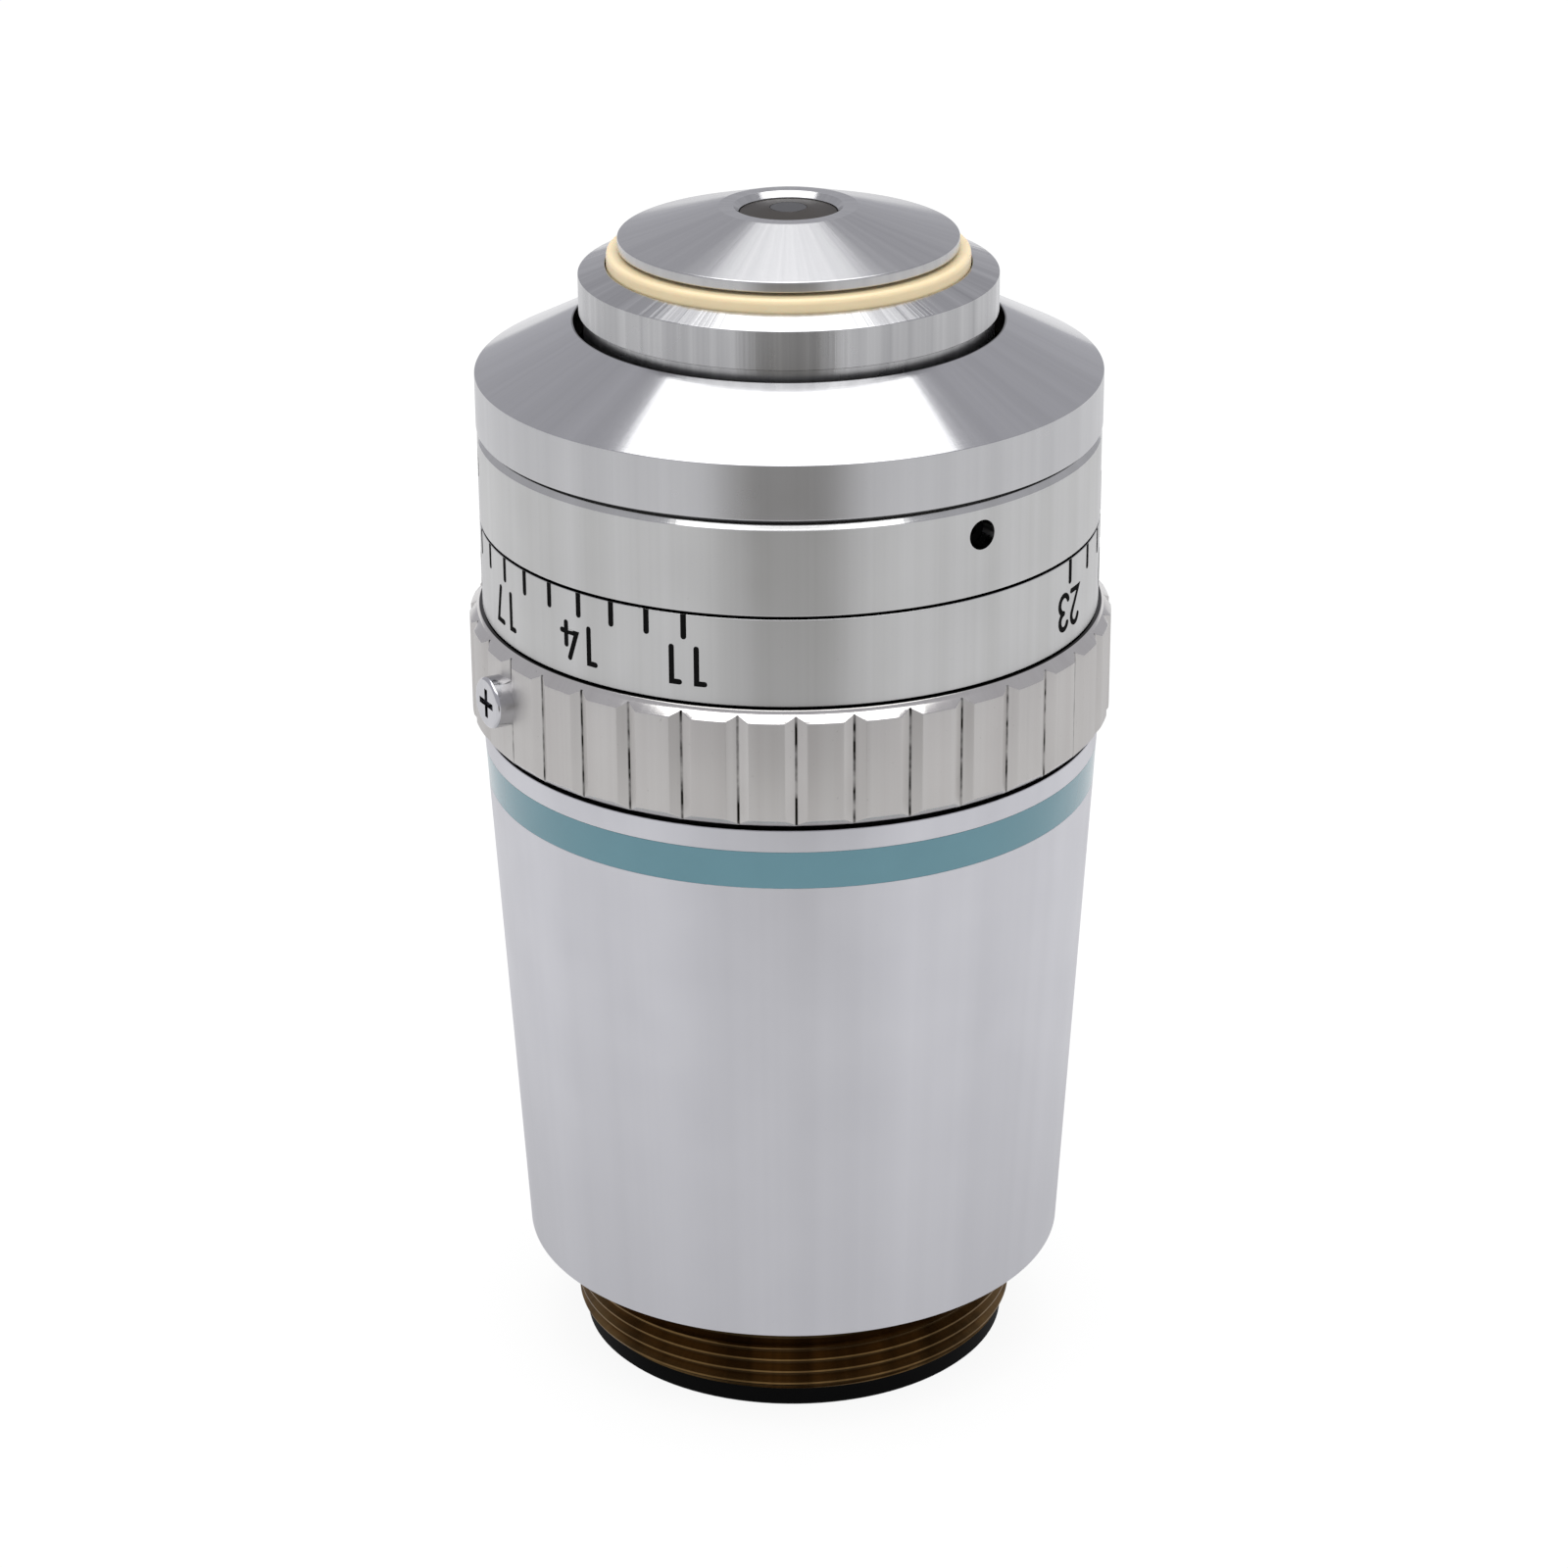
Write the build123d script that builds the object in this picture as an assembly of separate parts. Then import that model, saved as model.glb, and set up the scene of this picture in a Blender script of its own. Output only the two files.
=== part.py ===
from build123d import *
import math
import os

# Microscope objective with a spring-loaded nose and a cover glass correction collar.
# Millimetres. The optical axis is Z, the mounting shoulder is z = 0 and the front lens looks up.
# Azimuths are in degrees from +X, counter-clockwise seen from the front lens.

# Fits
running = 0.05
seat = 0.02
cement = 0.01

# Parfocal length and the stack of rings, from the focus down to the barrel
parfocal_length = 60.0
focus_gap = 0.3
nose_projection = 6.06
cover_cone_height = 2.69
cover_band_height = 2.95
cover_groove = 0.2
index_height = 4.94
index_gap = 0.15
scale_height = 4.78
grip_seat = 0.09
grip_height = 6.42
grip_lift = 0.22
collar_gap = 0.1

# Mount ring with its thread, left plain at the major diameter
thread_r = 12.5
thread_length = 3.05
thread_chamfer = 0.3
relief_step = 0.6
relief_length = 1.9
mount_bore_clearance = 0.5
mount_spigot_step = 1.4
mount_spigot_length = 4.5

# Rear ring
rear_flange_step = 0.45
rear_flange_thickness = 1.3
rear_gap = 0.05
rear_spigot_length = 2.5
rear_ring_wall = 3.3
rear_chamfer = 0.15
spanner_reach = 2.3
spanner_width = 1.8
spanner_depth = 0.9

# Outer barrel
barrel_step = 0.17
barrel_taper = 1.78
barrel_relief_gap = 1.2
barrel_land = 2.5
barrel_edge = 0.08
band_drop = 1.26
band_height = 2.11
band_depth = 0.2

# Body tube
tube_flange_step = 0.9
tube_wall = 1.75
tube_flange_thickness = 2.0
tube_top_drop = 2.6
guide_pin_r = 0.6
guide_pin_azimuth = 90.0

# Index sleeve and front cover
index_wall = 3.8
index_chamfer_height = 0.32
index_chamfer_width = 0.25
index_step = 0.5
index_spigot_step = 1.2
index_spigot_height = 1.6
washer_inset = 2.1
washer_thickness = 0.62
washer_gap = 0.03
set_screw_r = 0.78
set_screw_length = 2.8
set_screw_hex = 0.8
set_screw_socket = 0.9
set_screw_drop = 1.7
set_screw_count = 3
set_screw_azimuth = -54.2
cover_step = 0.04
cover_hole_gap = 0.3
cover_wall = 1.2
cover_land = 0.75
cover_edge = 0.08

# Collar: scale ring, grip ring and drive screw
scale_step = 1.8
scale_edge = 0.08
grip_stand = 0.73
grip_top_step = 0.2
grip_lip_width = 0.1
grip_lip_height = 0.19
grip_top_chamfer = 0.4
grip_bottom_step = 0.3
grip_bottom_chamfer = 0.48
pad_count = 36
groove_depth = 0.33
groove_half_width = 0.58
groove_azimuth = -89.15
pads_to_screw = 6.2
screw_height = 3.63
screw_r = 0.8
screw_head_r = 1.4
screw_head_height = 1.3
screw_head_round = 0.2
spot_face_r = 1.5
spot_face_depth = 0.36
cross_width = 0.35
cross_length = 1.6
cross_depth = 0.6
screw_reach = 0.3

# Correction: the collar turns the cam ring, and the cam ring lifts the correction cell
turn_down = 69.1
turn_up = 25.7
cam_lead = 4.5
cam_gap = 0.25
cam_end_wall = 1.0
cam_pin_r = 0.7
cam_pin_azimuth = 30.0
cam_pin_drop = 4.9
cam_pin_reach = 0.25
slot_end_gap = 0.2

# Spring-loaded nose
nose_travel = 2.0
nose_hole_r = 2.62
nose_bevel = 0.3
nose_flat_r = 3.7
nose_rim_step = 0.78
nose_cone_drop = 1.56
nose_rim_height = 0.56
nose_rim_gap = 0.18
nose_stem_wall = 1.3
nose_hole_wall = 0.45
nose_inner_drop = 2.2
sleeve_drop = 3.0
sleeve_chamfer_height = 0.51
sleeve_lip = 1.45
sleeve_neck_drop = 2.58
sleeve_neck_height = 2.5
sleeve_neck_depth = 0.25
sleeve_recess = 1.15
sleeve_ledge = 2.2
ring_gap = 0.07
ring_round = 0.25

# Lens core, the tube that carries every lens
sleeve_wall = 1.5
core_wall = 1.4
core_ledge = 0.8
core_ledge_step = 1.3
core_rear_step = 0.3
core_shoulder_gap = 0.35
core_shoulder_length = 9.3
core_flange_gap = 0.05
core_flange_wall = 1.0
core_flange_height = 6.0
core_tail_wall = 0.75
core_tail_length = 4.0

# Main spring
wire = 0.8
wire_sides = 8
spring_turns = 6.5
spring_clearance = 0.25

# Lenses: centre thickness, and surface radii as multiples of the rim's, positive where convex
front_lens_r = 1.6
front_face_r = 0.95
front_recess = 0.1
dish_drop = 0.25
meniscus_rim_ratio = 0.56
meniscus_thickness = 2.0
meniscus_front_ratio = -1.8
meniscus_rear_ratio = 1.33
meniscus_gap = 0.9
doublet_a_cell_wall = 1.7
doublet_a_crown_thickness = 3.5
doublet_a_flint_thickness = 1.2
doublet_a_front_ratio = 2.65
doublet_a_middle_ratio = 2.1
doublet_a_rear_ratio = -5.6
doublet_a_gap = 0.4
doublet_b_cell_wall = 1.8
doublet_b_crown_thickness = 4.3
doublet_b_flint_thickness = 1.4
doublet_b_front_ratio = 2.3
doublet_b_middle_ratio = 2.2
doublet_b_rear_ratio = 9.2
doublet_b_gap = 1.2
correction_cell_wall = 2.0
correction_crown_thickness = 3.1
correction_flint_thickness = 1.3
correction_front_ratio = 3.5
correction_middle_ratio = 2.9
correction_rear_ratio = -4.1
thick_cell_wall = 3.0
thick_crown_thickness = 3.5
thick_flint_thickness = 1.7
thick_front_ratio = 1.7
thick_middle_ratio = 5.4
thick_rear_ratio = -1.6
rear_cell_wall = 3.1
rear_flint_thickness = 1.2
rear_crown_thickness = 3.2
rear_front_ratio = -1.8
rear_middle_ratio = 3.6
rear_rear_ratio = 2.0

# Cells, spacer, stop and lock rings
cell_lip = 0.5
cell_lip_thickness = 0.7
cell_head_room = 0.05
correction_cell_above = 8.0
correction_cell_below = 1.4
correction_stop_gap = 0.33
correction_lock_wall = 1.4
correction_lock_height = 1.4
correction_inset = 1.4
thick_inset = 0.9
rear_inset = 0.15
rear_cell_foot = 1.45
stop_thickness = 0.5
stop_wall = 3.7
lock_thickness = 2.0
lock_wall = 2.4
lock_slot_width = 1.2
lock_slot_depth = 0.8

# Heights that follow from the sizes above
tip_z = parfocal_length - focus_gap
rim_top_z = tip_z - nose_cone_drop
rim_bottom_z = rim_top_z - nose_rim_height
ring_top_z = rim_bottom_z - nose_rim_gap
sleeve_top_z = tip_z - sleeve_drop
sleeve_floor_z = sleeve_top_z - sleeve_recess
core_top_z = sleeve_floor_z - sleeve_ledge - seat
cover_hole_z = tip_z - nose_projection
cover_edge_z = cover_hole_z - cover_cone_height
cover_bottom_z = cover_edge_z - cover_band_height
index_top_z = cover_bottom_z - cover_groove
index_bottom_z = index_top_z - index_height
scale_top_z = index_bottom_z - index_gap
scale_bottom_z = scale_top_z - scale_height
grip_top_z = scale_bottom_z - grip_seat
grip_bottom_z = grip_top_z - grip_height
collar_bottom_z = grip_bottom_z - grip_lift
barrel_top_z = collar_bottom_z - collar_gap
thread_top_z = -relief_length
thread_end_z = thread_top_z - thread_length
rear_top_z = thread_end_z + rear_spigot_length
rear_flange_z = thread_end_z - rear_gap
rear_z = rear_flange_z - rear_flange_thickness
tube_bottom_z = mount_spigot_length + seat
tube_flange_z = tube_bottom_z + tube_flange_thickness
tube_top_z = cover_hole_z - tube_top_drop
screw_z = grip_bottom_z + screw_height
cam_pin_z = screw_z - cam_pin_drop
lift_up = cam_lead * turn_up / 360
lift_down = cam_lead * turn_down / 360
cam_slot_half = cam_pin_r + running
cam_top_z = screw_z + screw_r + nose_travel + slot_end_gap + cam_end_wall
cam_bottom_z = cam_pin_z - lift_down - cam_slot_half - cam_end_wall
sleeve_bottom_z = cam_top_z + running
core_shoulder_z = cam_bottom_z - running
stop_z = core_shoulder_z - core_shoulder_length
core_flange_z = stop_z - core_flange_height
core_bottom_z = core_flange_z - core_tail_length
guide_pin_z = core_flange_z + (core_flange_height - nose_travel) / 2
correction_top_z = cam_pin_z + correction_cell_above
correction_bottom_z = cam_pin_z - correction_cell_below
core_ledge_z = correction_top_z + lift_up + correction_stop_gap
core_step_z = correction_bottom_z - lift_down - correction_stop_gap

# Radii that follow, from the thread to the body tube, then outwards and inwards
relief_r = thread_r - relief_step
rear_flange_r = thread_r - rear_flange_step
mount_spigot_r = thread_r + mount_spigot_step
tube_r = mount_spigot_r - tube_flange_step
guide_bore_r = tube_r - tube_wall
sleeve_r = guide_bore_r - running
stop_bore_r = tube_r - core_flange_wall
core_flange_r = stop_bore_r - core_flange_gap
scale_bore_r = tube_r + running
index_r = tube_r + index_wall
index_step_r = index_r - index_step
index_spigot_r = index_r - index_spigot_step
washer_outer_r = index_r - washer_inset
cover_r = index_r + cover_step
cover_hole_r = sleeve_r + cover_hole_gap
scale_r = index_r
scale_sleeve_r = scale_r - scale_step
grip_r = scale_r + grip_stand
grip_top_r = scale_r + grip_top_step
grip_bottom_r = scale_r + grip_bottom_step
barrel_top_r = scale_r + barrel_step
barrel_base_r = barrel_top_r - barrel_taper
barrel_relief_r = tube_r + barrel_relief_gap
core_r = sleeve_r - sleeve_wall
core_bore_r = core_r - core_wall
core_ledge_r = core_bore_r - core_ledge_step
core_rear_bore_r = core_bore_r + core_rear_step
core_tail_r = core_rear_bore_r + core_tail_wall
cam_bore_r = core_r + running
cam_r = guide_bore_r - cam_gap
core_shoulder_r = guide_bore_r - core_shoulder_gap
stem_r = core_bore_r - seat
nose_stem_bore_r = core_bore_r - nose_stem_wall
nose_rim_r = core_bore_r + nose_rim_step
sleeve_recess_r = sleeve_r - sleeve_lip
ring_r = sleeve_recess_r - ring_gap
rear_cell_r = core_rear_bore_r - seat
stop_hole_r = core_rear_bore_r - stop_wall
lock_bore_r = core_rear_bore_r - lock_wall
spring_mean_r = core_tail_r + spring_clearance + wire / 2
mount_bore_r = spring_mean_r + wire / 2 + mount_bore_clearance
rear_bore_r = mount_bore_r - rear_ring_wall
meniscus_rim = nose_stem_bore_r * meniscus_rim_ratio
doublet_a_rim = nose_stem_bore_r - doublet_a_cell_wall
doublet_b_rim = core_bore_r - doublet_b_cell_wall
correction_rim = core_bore_r - correction_cell_wall
correction_lock_r = core_bore_r - correction_lock_wall
thick_rim = core_rear_bore_r - thick_cell_wall
rear_rim = core_rear_bore_r - rear_cell_wall

# Angles and places of the grip's pads and of the two screws
pad_angle = 360 / pad_count
screw_azimuth = groove_azimuth - pads_to_screw * pad_angle
spot_face_at_r = grip_r - spot_face_depth
index_screw_z = index_top_z - set_screw_drop


def turned(*outline):
    """A solid of revolution about Z from (r, z) corners."""
    points = [(r, 0, z) for r, z in outline]
    return revolve(make_face(Polyline(*points, close=True)), Axis.Z)


def radial_plane(azimuth, z, r):
    """A plane at radius r that faces outwards."""
    turn = math.radians(azimuth)
    outward = Vector(math.cos(turn), math.sin(turn), 0)
    return Plane(origin=outward * r + Vector(0, 0, z), x_dir=(0, 0, 1), z_dir=outward)


def radial_rod(azimuth, z, r_from, r_to, radius):
    """A round rod or drill along a radius."""
    rod = Cylinder(radius, r_to - r_from, align=(Align.CENTER, Align.CENTER, Align.MIN))
    return radial_plane(azimuth, z, r_from) * rod


def axial_slot(azimuth, z_low, z_high, r_from, r_to, half_width):
    """A cutter with round ends, centred on the two heights, along Z."""
    length = z_high - z_low
    block = Box(length, 2 * half_width, r_to - r_from, align=(Align.CENTER, Align.CENTER, Align.MIN))
    cutter = radial_plane(azimuth, (z_low + z_high) / 2, r_from) * block
    cutter += radial_rod(azimuth, z_low, r_from, r_to, half_width)
    cutter += radial_rod(azimuth, z_high, r_from, r_to, half_width)
    return cutter


def face_slots(r_from, r_to, z_from, z_to, width):
    """Two slots for a pin spanner, opposite each other across a ring's face."""
    height = z_to - z_from
    block = Box(r_to - r_from, width, height, align=(Align.MIN, Align.CENTER, Align.MIN))
    return [Rot(0, 0, turn) * Pos(r_from, 0, z_from) * block for turn in (0, 180)]


def sag(surface, rim, r):
    """How far a surface falls from its vertex at radius r, negative where it is concave."""
    curve_r = abs(surface) * rim
    depth = curve_r - math.sqrt(curve_r ** 2 - r ** 2)
    return math.copysign(depth, surface)


def lens(z_front, thickness, rim, front, rear):
    """A lens turned from two spherical surfaces and a ground rim."""
    z_rear = z_front - thickness
    half = rim / 2
    top = ThreePointArc(
        (0, 0, z_front),
        (half, 0, z_front - sag(front, rim, half)),
        (rim, 0, z_front - sag(front, rim, rim)),
    )
    bottom = ThreePointArc(
        (0, 0, z_rear),
        (half, 0, z_rear + sag(rear, rim, half)),
        (rim, 0, z_rear + sag(rear, rim, rim)),
    )
    outline = [top, Line(top @ 1, bottom @ 1), bottom, Line(bottom @ 0, top @ 0)]
    return revolve(make_face(outline), Axis.Z)


def lip_height(z_rear, rim, rear):
    """Where a cell's lip meets the rear surface of its lens."""
    lip_r = rim - cell_lip
    contact_r = lip_r if rear > 0 else rim
    return z_rear + sag(rear, rim, contact_r) - cement


def cell(outer_r, z_top, z_bottom, rim, z_lip):
    """A lens cell: a tube with a lip that the lens rests on."""
    bore_r = rim + seat
    lip_r = rim - cell_lip
    return turned(
        (lip_r, z_bottom),
        (outer_r, z_bottom),
        (outer_r, z_top),
        (bore_r, z_top),
        (bore_r, z_lip),
        (lip_r, z_lip),
    )


# Where each lens and cell lies, from the tip backwards
front_face_z = tip_z - front_recess
front_lens_bottom_z = front_face_z - front_lens_r - math.sqrt(front_lens_r ** 2 - front_face_r ** 2)
meniscus_z = front_lens_bottom_z - meniscus_gap
meniscus_rear_z = meniscus_z - meniscus_thickness
meniscus_edge_z = meniscus_z - sag(meniscus_front_ratio, meniscus_rim, meniscus_rim)
meniscus_cell_top_z = meniscus_edge_z + cell_head_room
meniscus_lip_z = lip_height(meniscus_rear_z, meniscus_rim, meniscus_rear_ratio)
front_cell_bottom_z = meniscus_cell_top_z + seat
doublet_a_z = meniscus_rear_z - doublet_a_gap
doublet_a_split_z = doublet_a_z - doublet_a_crown_thickness
doublet_a_rear_z = doublet_a_split_z - cement - doublet_a_flint_thickness
doublet_a_top_z = doublet_a_z + cell_head_room
doublet_a_lip_z = lip_height(doublet_a_rear_z, doublet_a_rim, doublet_a_rear_ratio)
stem_bottom_z = doublet_a_lip_z - cell_lip_thickness
doublet_b_z = doublet_a_rear_z - doublet_b_gap
doublet_b_split_z = doublet_b_z - doublet_b_crown_thickness
doublet_b_rear_z = doublet_b_split_z - cement - doublet_b_flint_thickness
doublet_b_top_z = stem_bottom_z - seat
doublet_b_lip_z = lip_height(doublet_b_rear_z, doublet_b_rim, doublet_b_rear_ratio)
doublet_b_bottom_z = doublet_b_lip_z - cell_lip_thickness
correction_z = correction_top_z - correction_inset
correction_split_z = correction_z - correction_crown_thickness
correction_rear_z = correction_split_z - cement - correction_flint_thickness
correction_lip_z = lip_height(correction_rear_z, correction_rim, correction_rear_ratio)
correction_lock_sag = sag(correction_front_ratio, correction_rim, correction_rim - cell_lip)
correction_lock_z = correction_z - correction_lock_sag + cement
thick_top_z = core_step_z - seat
thick_z = thick_top_z - thick_inset
thick_split_z = thick_z - thick_crown_thickness
thick_rear_z = thick_split_z - cement - thick_flint_thickness
thick_lip_z = lip_height(thick_rear_z, thick_rim, thick_rear_ratio)
thick_bottom_z = thick_lip_z - cell_lip_thickness
rear_cell_top_z = thick_bottom_z - seat
rear_lens_z = rear_cell_top_z - rear_inset + sag(rear_front_ratio, rear_rim, rear_rim)
rear_split_z = rear_lens_z - rear_flint_thickness
rear_rear_z = rear_split_z - cement - rear_crown_thickness
rear_lip_z = lip_height(rear_rear_z, rear_rim, rear_rear_ratio)
rear_cell_bottom_z = rear_lip_z - rear_cell_foot
rear_stop_z = rear_cell_bottom_z - seat
lock_top_z = rear_stop_z - stop_thickness - seat
lock_bottom_z = lock_top_z - lock_thickness


def mount_ring():
    """Brass ring with the mounting thread. Its flange clamps the body tube in the barrel."""
    root_r = thread_r - thread_chamfer
    return turned(
        (mount_bore_r, thread_end_z),
        (root_r, thread_end_z),
        (thread_r, thread_end_z + thread_chamfer),
        (thread_r, thread_top_z - (thread_r - relief_r)),
        (relief_r, thread_top_z),
        (relief_r, 0),
        (mount_spigot_r, 0),
        (mount_spigot_r, mount_spigot_length),
        (mount_bore_r, mount_spigot_length),
    )


def rear_ring():
    """Black ring screwed into the rear. It carries the spring."""
    ring = turned(
        (rear_bore_r, rear_z),
        (rear_flange_r - rear_chamfer, rear_z),
        (rear_flange_r, rear_z + rear_chamfer),
        (rear_flange_r, rear_flange_z),
        (mount_bore_r - seat, rear_flange_z),
        (mount_bore_r - seat, rear_top_z),
        (rear_bore_r, rear_top_z),
    )
    slot_from_r = rear_bore_r / 2
    slot_to_r = rear_bore_r + spanner_reach
    return ring - face_slots(slot_from_r, slot_to_r, rear_z, rear_z + spanner_depth, spanner_width)


def barrel_r_at(z):
    """Outside radius of the tapered barrel."""
    return barrel_base_r + (barrel_top_r - barrel_base_r) * z / barrel_top_z


def outer_barrel():
    """Tapered outer barrel with a ledge for the body tube and a groove for the colour ring."""
    flange_bore_r = mount_spigot_r + seat
    ledge_z = tube_flange_z + seat
    land_top_z = ledge_z + barrel_land
    band_top_z = barrel_top_z - band_drop
    band_bottom_z = band_top_z - band_height
    edge_z = barrel_top_z - barrel_edge
    return turned(
        (flange_bore_r, 0),
        (barrel_base_r, 0),
        (barrel_r_at(band_bottom_z), band_bottom_z),
        (barrel_r_at(band_bottom_z) - band_depth, band_bottom_z),
        (barrel_r_at(band_top_z) - band_depth, band_top_z),
        (barrel_r_at(band_top_z), band_top_z),
        (barrel_r_at(edge_z), edge_z),
        (barrel_top_r - barrel_edge, barrel_top_z),
        (barrel_relief_r, barrel_top_z),
        (barrel_relief_r, land_top_z),
        (tube_r + seat, land_top_z),
        (tube_r + seat, ledge_z),
        (flange_bore_r, ledge_z),
    )


def colour_ring():
    """Enamelled ring that gives the magnification class, flush in the barrel's groove."""
    top_z = barrel_top_z - band_drop - cement
    bottom_z = barrel_top_z - band_drop - band_height + cement
    depth = band_depth - cement
    return turned(
        (barrel_r_at(bottom_z) - depth, bottom_z),
        (barrel_r_at(bottom_z), bottom_z),
        (barrel_r_at(top_z), top_z),
        (barrel_r_at(top_z) - depth, top_z),
    )


def body_tube():
    """Inner tube. The nose slides in it, and the collar turns on it as far as the screw's slot allows."""
    tube = turned(
        (stop_bore_r, tube_bottom_z),
        (mount_spigot_r, tube_bottom_z),
        (mount_spigot_r, tube_flange_z),
        (tube_r, tube_flange_z),
        (tube_r, tube_top_z),
        (guide_bore_r, tube_top_z),
        (guide_bore_r, stop_z + seat),
        (stop_bore_r, stop_z + seat),
    )
    half = screw_r + 2 * running
    inside_r = guide_bore_r - slot_end_gap
    outside_r = tube_r + slot_end_gap
    section = Polyline(
        (inside_r, 0, screw_z - half),
        (outside_r, 0, screw_z - half),
        (outside_r, 0, screw_z + half),
        (inside_r, 0, screw_z + half),
        close=True,
    )
    first = screw_azimuth - turn_down
    last = screw_azimuth + turn_up
    slot = Rot(0, 0, first) * revolve(make_face(section), Axis.Z, last - first)
    for end in (first, last):
        slot += radial_rod(end, screw_z, inside_r, outside_r, half)
    pin_hole = radial_rod(guide_pin_azimuth, guide_pin_z, guide_bore_r, outside_r, guide_pin_r + cement)
    return tube - slot - pin_hole


def guide_pin():
    """Dowel in the body tube that keeps the nose from turning."""
    inner_r = core_shoulder_r + 2 * running + slot_end_gap
    return radial_rod(guide_pin_azimuth, guide_pin_z, inner_r, tube_r - seat, guide_pin_r)


def main_spring():
    """Compression spring under the nose, with ends ground flat."""
    z_low = rear_top_z + seat
    z_high = core_flange_z - seat
    height = z_high - z_low
    path = Helix(pitch=(height - wire) / spring_turns, height=height - wire, radius=spring_mean_r)
    section = Plane(origin=path @ 0, z_dir=path % 0) * RegularPolygon(wire / 2, wire_sides)
    coil = sweep(section, path=path, is_frenet=True)
    return Pos(0, 0, z_low + wire / 2) * coil


def set_screw_azimuths():
    """Azimuths of the index sleeve's set screws."""
    step = 360 / set_screw_count
    return [set_screw_azimuth + step * number for number in range(set_screw_count)]


def index_sleeve():
    """Fixed ring above the scale. Its spigot carries the front cover."""
    washer_seat_r = washer_outer_r + 2 * running
    washer_floor_z = scale_top_z + washer_gap + washer_thickness + seat
    sleeve = turned(
        (washer_seat_r, index_bottom_z),
        (index_r, index_bottom_z),
        (index_r, index_top_z - index_chamfer_height),
        (index_r - index_chamfer_width, index_top_z),
        (index_step_r, index_top_z),
        (index_step_r, cover_bottom_z),
        (index_spigot_r, cover_bottom_z),
        (index_spigot_r, cover_bottom_z + index_spigot_height),
        (tube_r + seat, cover_bottom_z + index_spigot_height),
        (tube_r + seat, washer_floor_z),
        (washer_seat_r, washer_floor_z),
    )
    for azimuth in set_screw_azimuths():
        sleeve -= radial_rod(azimuth, index_screw_z, tube_r, index_r + seat, set_screw_r + seat)
    return sleeve


def index_set_screw(azimuth):
    """Socket set screw that locks the index sleeve to the body tube."""
    tip_r = tube_r + cement
    end_r = tip_r + set_screw_length
    rod = radial_rod(azimuth, index_screw_z, tip_r, end_r, set_screw_r)
    socket_plane = radial_plane(azimuth, index_screw_z, end_r - set_screw_socket)
    socket = extrude(socket_plane * RegularPolygon(set_screw_hex / 2, 6), set_screw_socket)
    return rod - socket


def front_cover():
    """Front cover: a cone and a band, screwed on the index sleeve's spigot."""
    slope = cover_cone_height / (cover_r - cover_hole_r)
    wall_z = cover_wall * math.sqrt(1 + slope ** 2)
    bore_r = index_spigot_r + seat
    inner_top_r = cover_hole_r + cover_land
    inner_top_z = cover_hole_z - slope * cover_land - wall_z
    inner_low_z = cover_hole_z - slope * (bore_r - cover_hole_r) - wall_z
    return turned(
        (bore_r, cover_bottom_z + seat),
        (cover_r, cover_bottom_z + seat),
        (cover_r, cover_edge_z),
        (cover_hole_r + cover_edge, cover_hole_z - slope * cover_edge),
        (cover_hole_r, cover_hole_z - slope * cover_edge - cover_edge),
        (cover_hole_r, inner_top_z),
        (inner_top_r, inner_top_z),
        (bore_r, inner_low_z),
    )


def drag_washer():
    """Flat washer that gives the collar its smooth drag."""
    bottom_z = scale_top_z + washer_gap
    return turned(
        (tube_r + 2 * running, bottom_z),
        (washer_outer_r, bottom_z),
        (washer_outer_r, bottom_z + washer_thickness),
        (tube_r + 2 * running, bottom_z + washer_thickness),
    )


def scale_ring():
    """Ring that carries the scale. Its sleeve turns on the body tube under the grip."""
    ring = turned(
        (scale_bore_r, collar_bottom_z),
        (scale_sleeve_r, collar_bottom_z),
        (scale_sleeve_r, scale_bottom_z),
        (scale_r, scale_bottom_z),
        (scale_r, scale_top_z - scale_edge),
        (scale_r - scale_edge, scale_top_z),
        (scale_bore_r, scale_top_z),
    )
    return ring - radial_rod(screw_azimuth, screw_z, tube_r, scale_sleeve_r + seat, screw_r + cement)


def grip_ring():
    """Grip ring with V-grooves between flat pads, and a spot face for the screw head."""
    lip_z = grip_top_z - grip_lip_height
    ring = turned(
        (scale_sleeve_r + seat, grip_bottom_z),
        (grip_bottom_r, grip_bottom_z),
        (grip_r, grip_bottom_z + grip_bottom_chamfer),
        (grip_r, lip_z - grip_top_chamfer),
        (grip_top_r + grip_lip_width, lip_z),
        (grip_top_r, grip_top_z),
        (scale_sleeve_r + seat, grip_top_z),
    )
    bottom_r = grip_r - groove_depth
    widen = 2
    section = Polyline(
        (bottom_r, 0),
        (bottom_r + widen * groove_depth, widen * groove_half_width),
        (bottom_r + widen * groove_depth, -widen * groove_half_width),
        close=True,
    )
    wedge = extrude(Pos(0, 0, grip_bottom_z) * make_face(section), grip_height)
    ring -= [Rot(0, 0, groove_azimuth + pad_angle * pad) * wedge for pad in range(pad_count)]
    ring -= radial_rod(screw_azimuth, screw_z, spot_face_at_r, grip_r + screw_head_height, spot_face_r)
    return ring - radial_rod(screw_azimuth, screw_z, scale_sleeve_r, grip_r, screw_r + cement)


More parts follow.
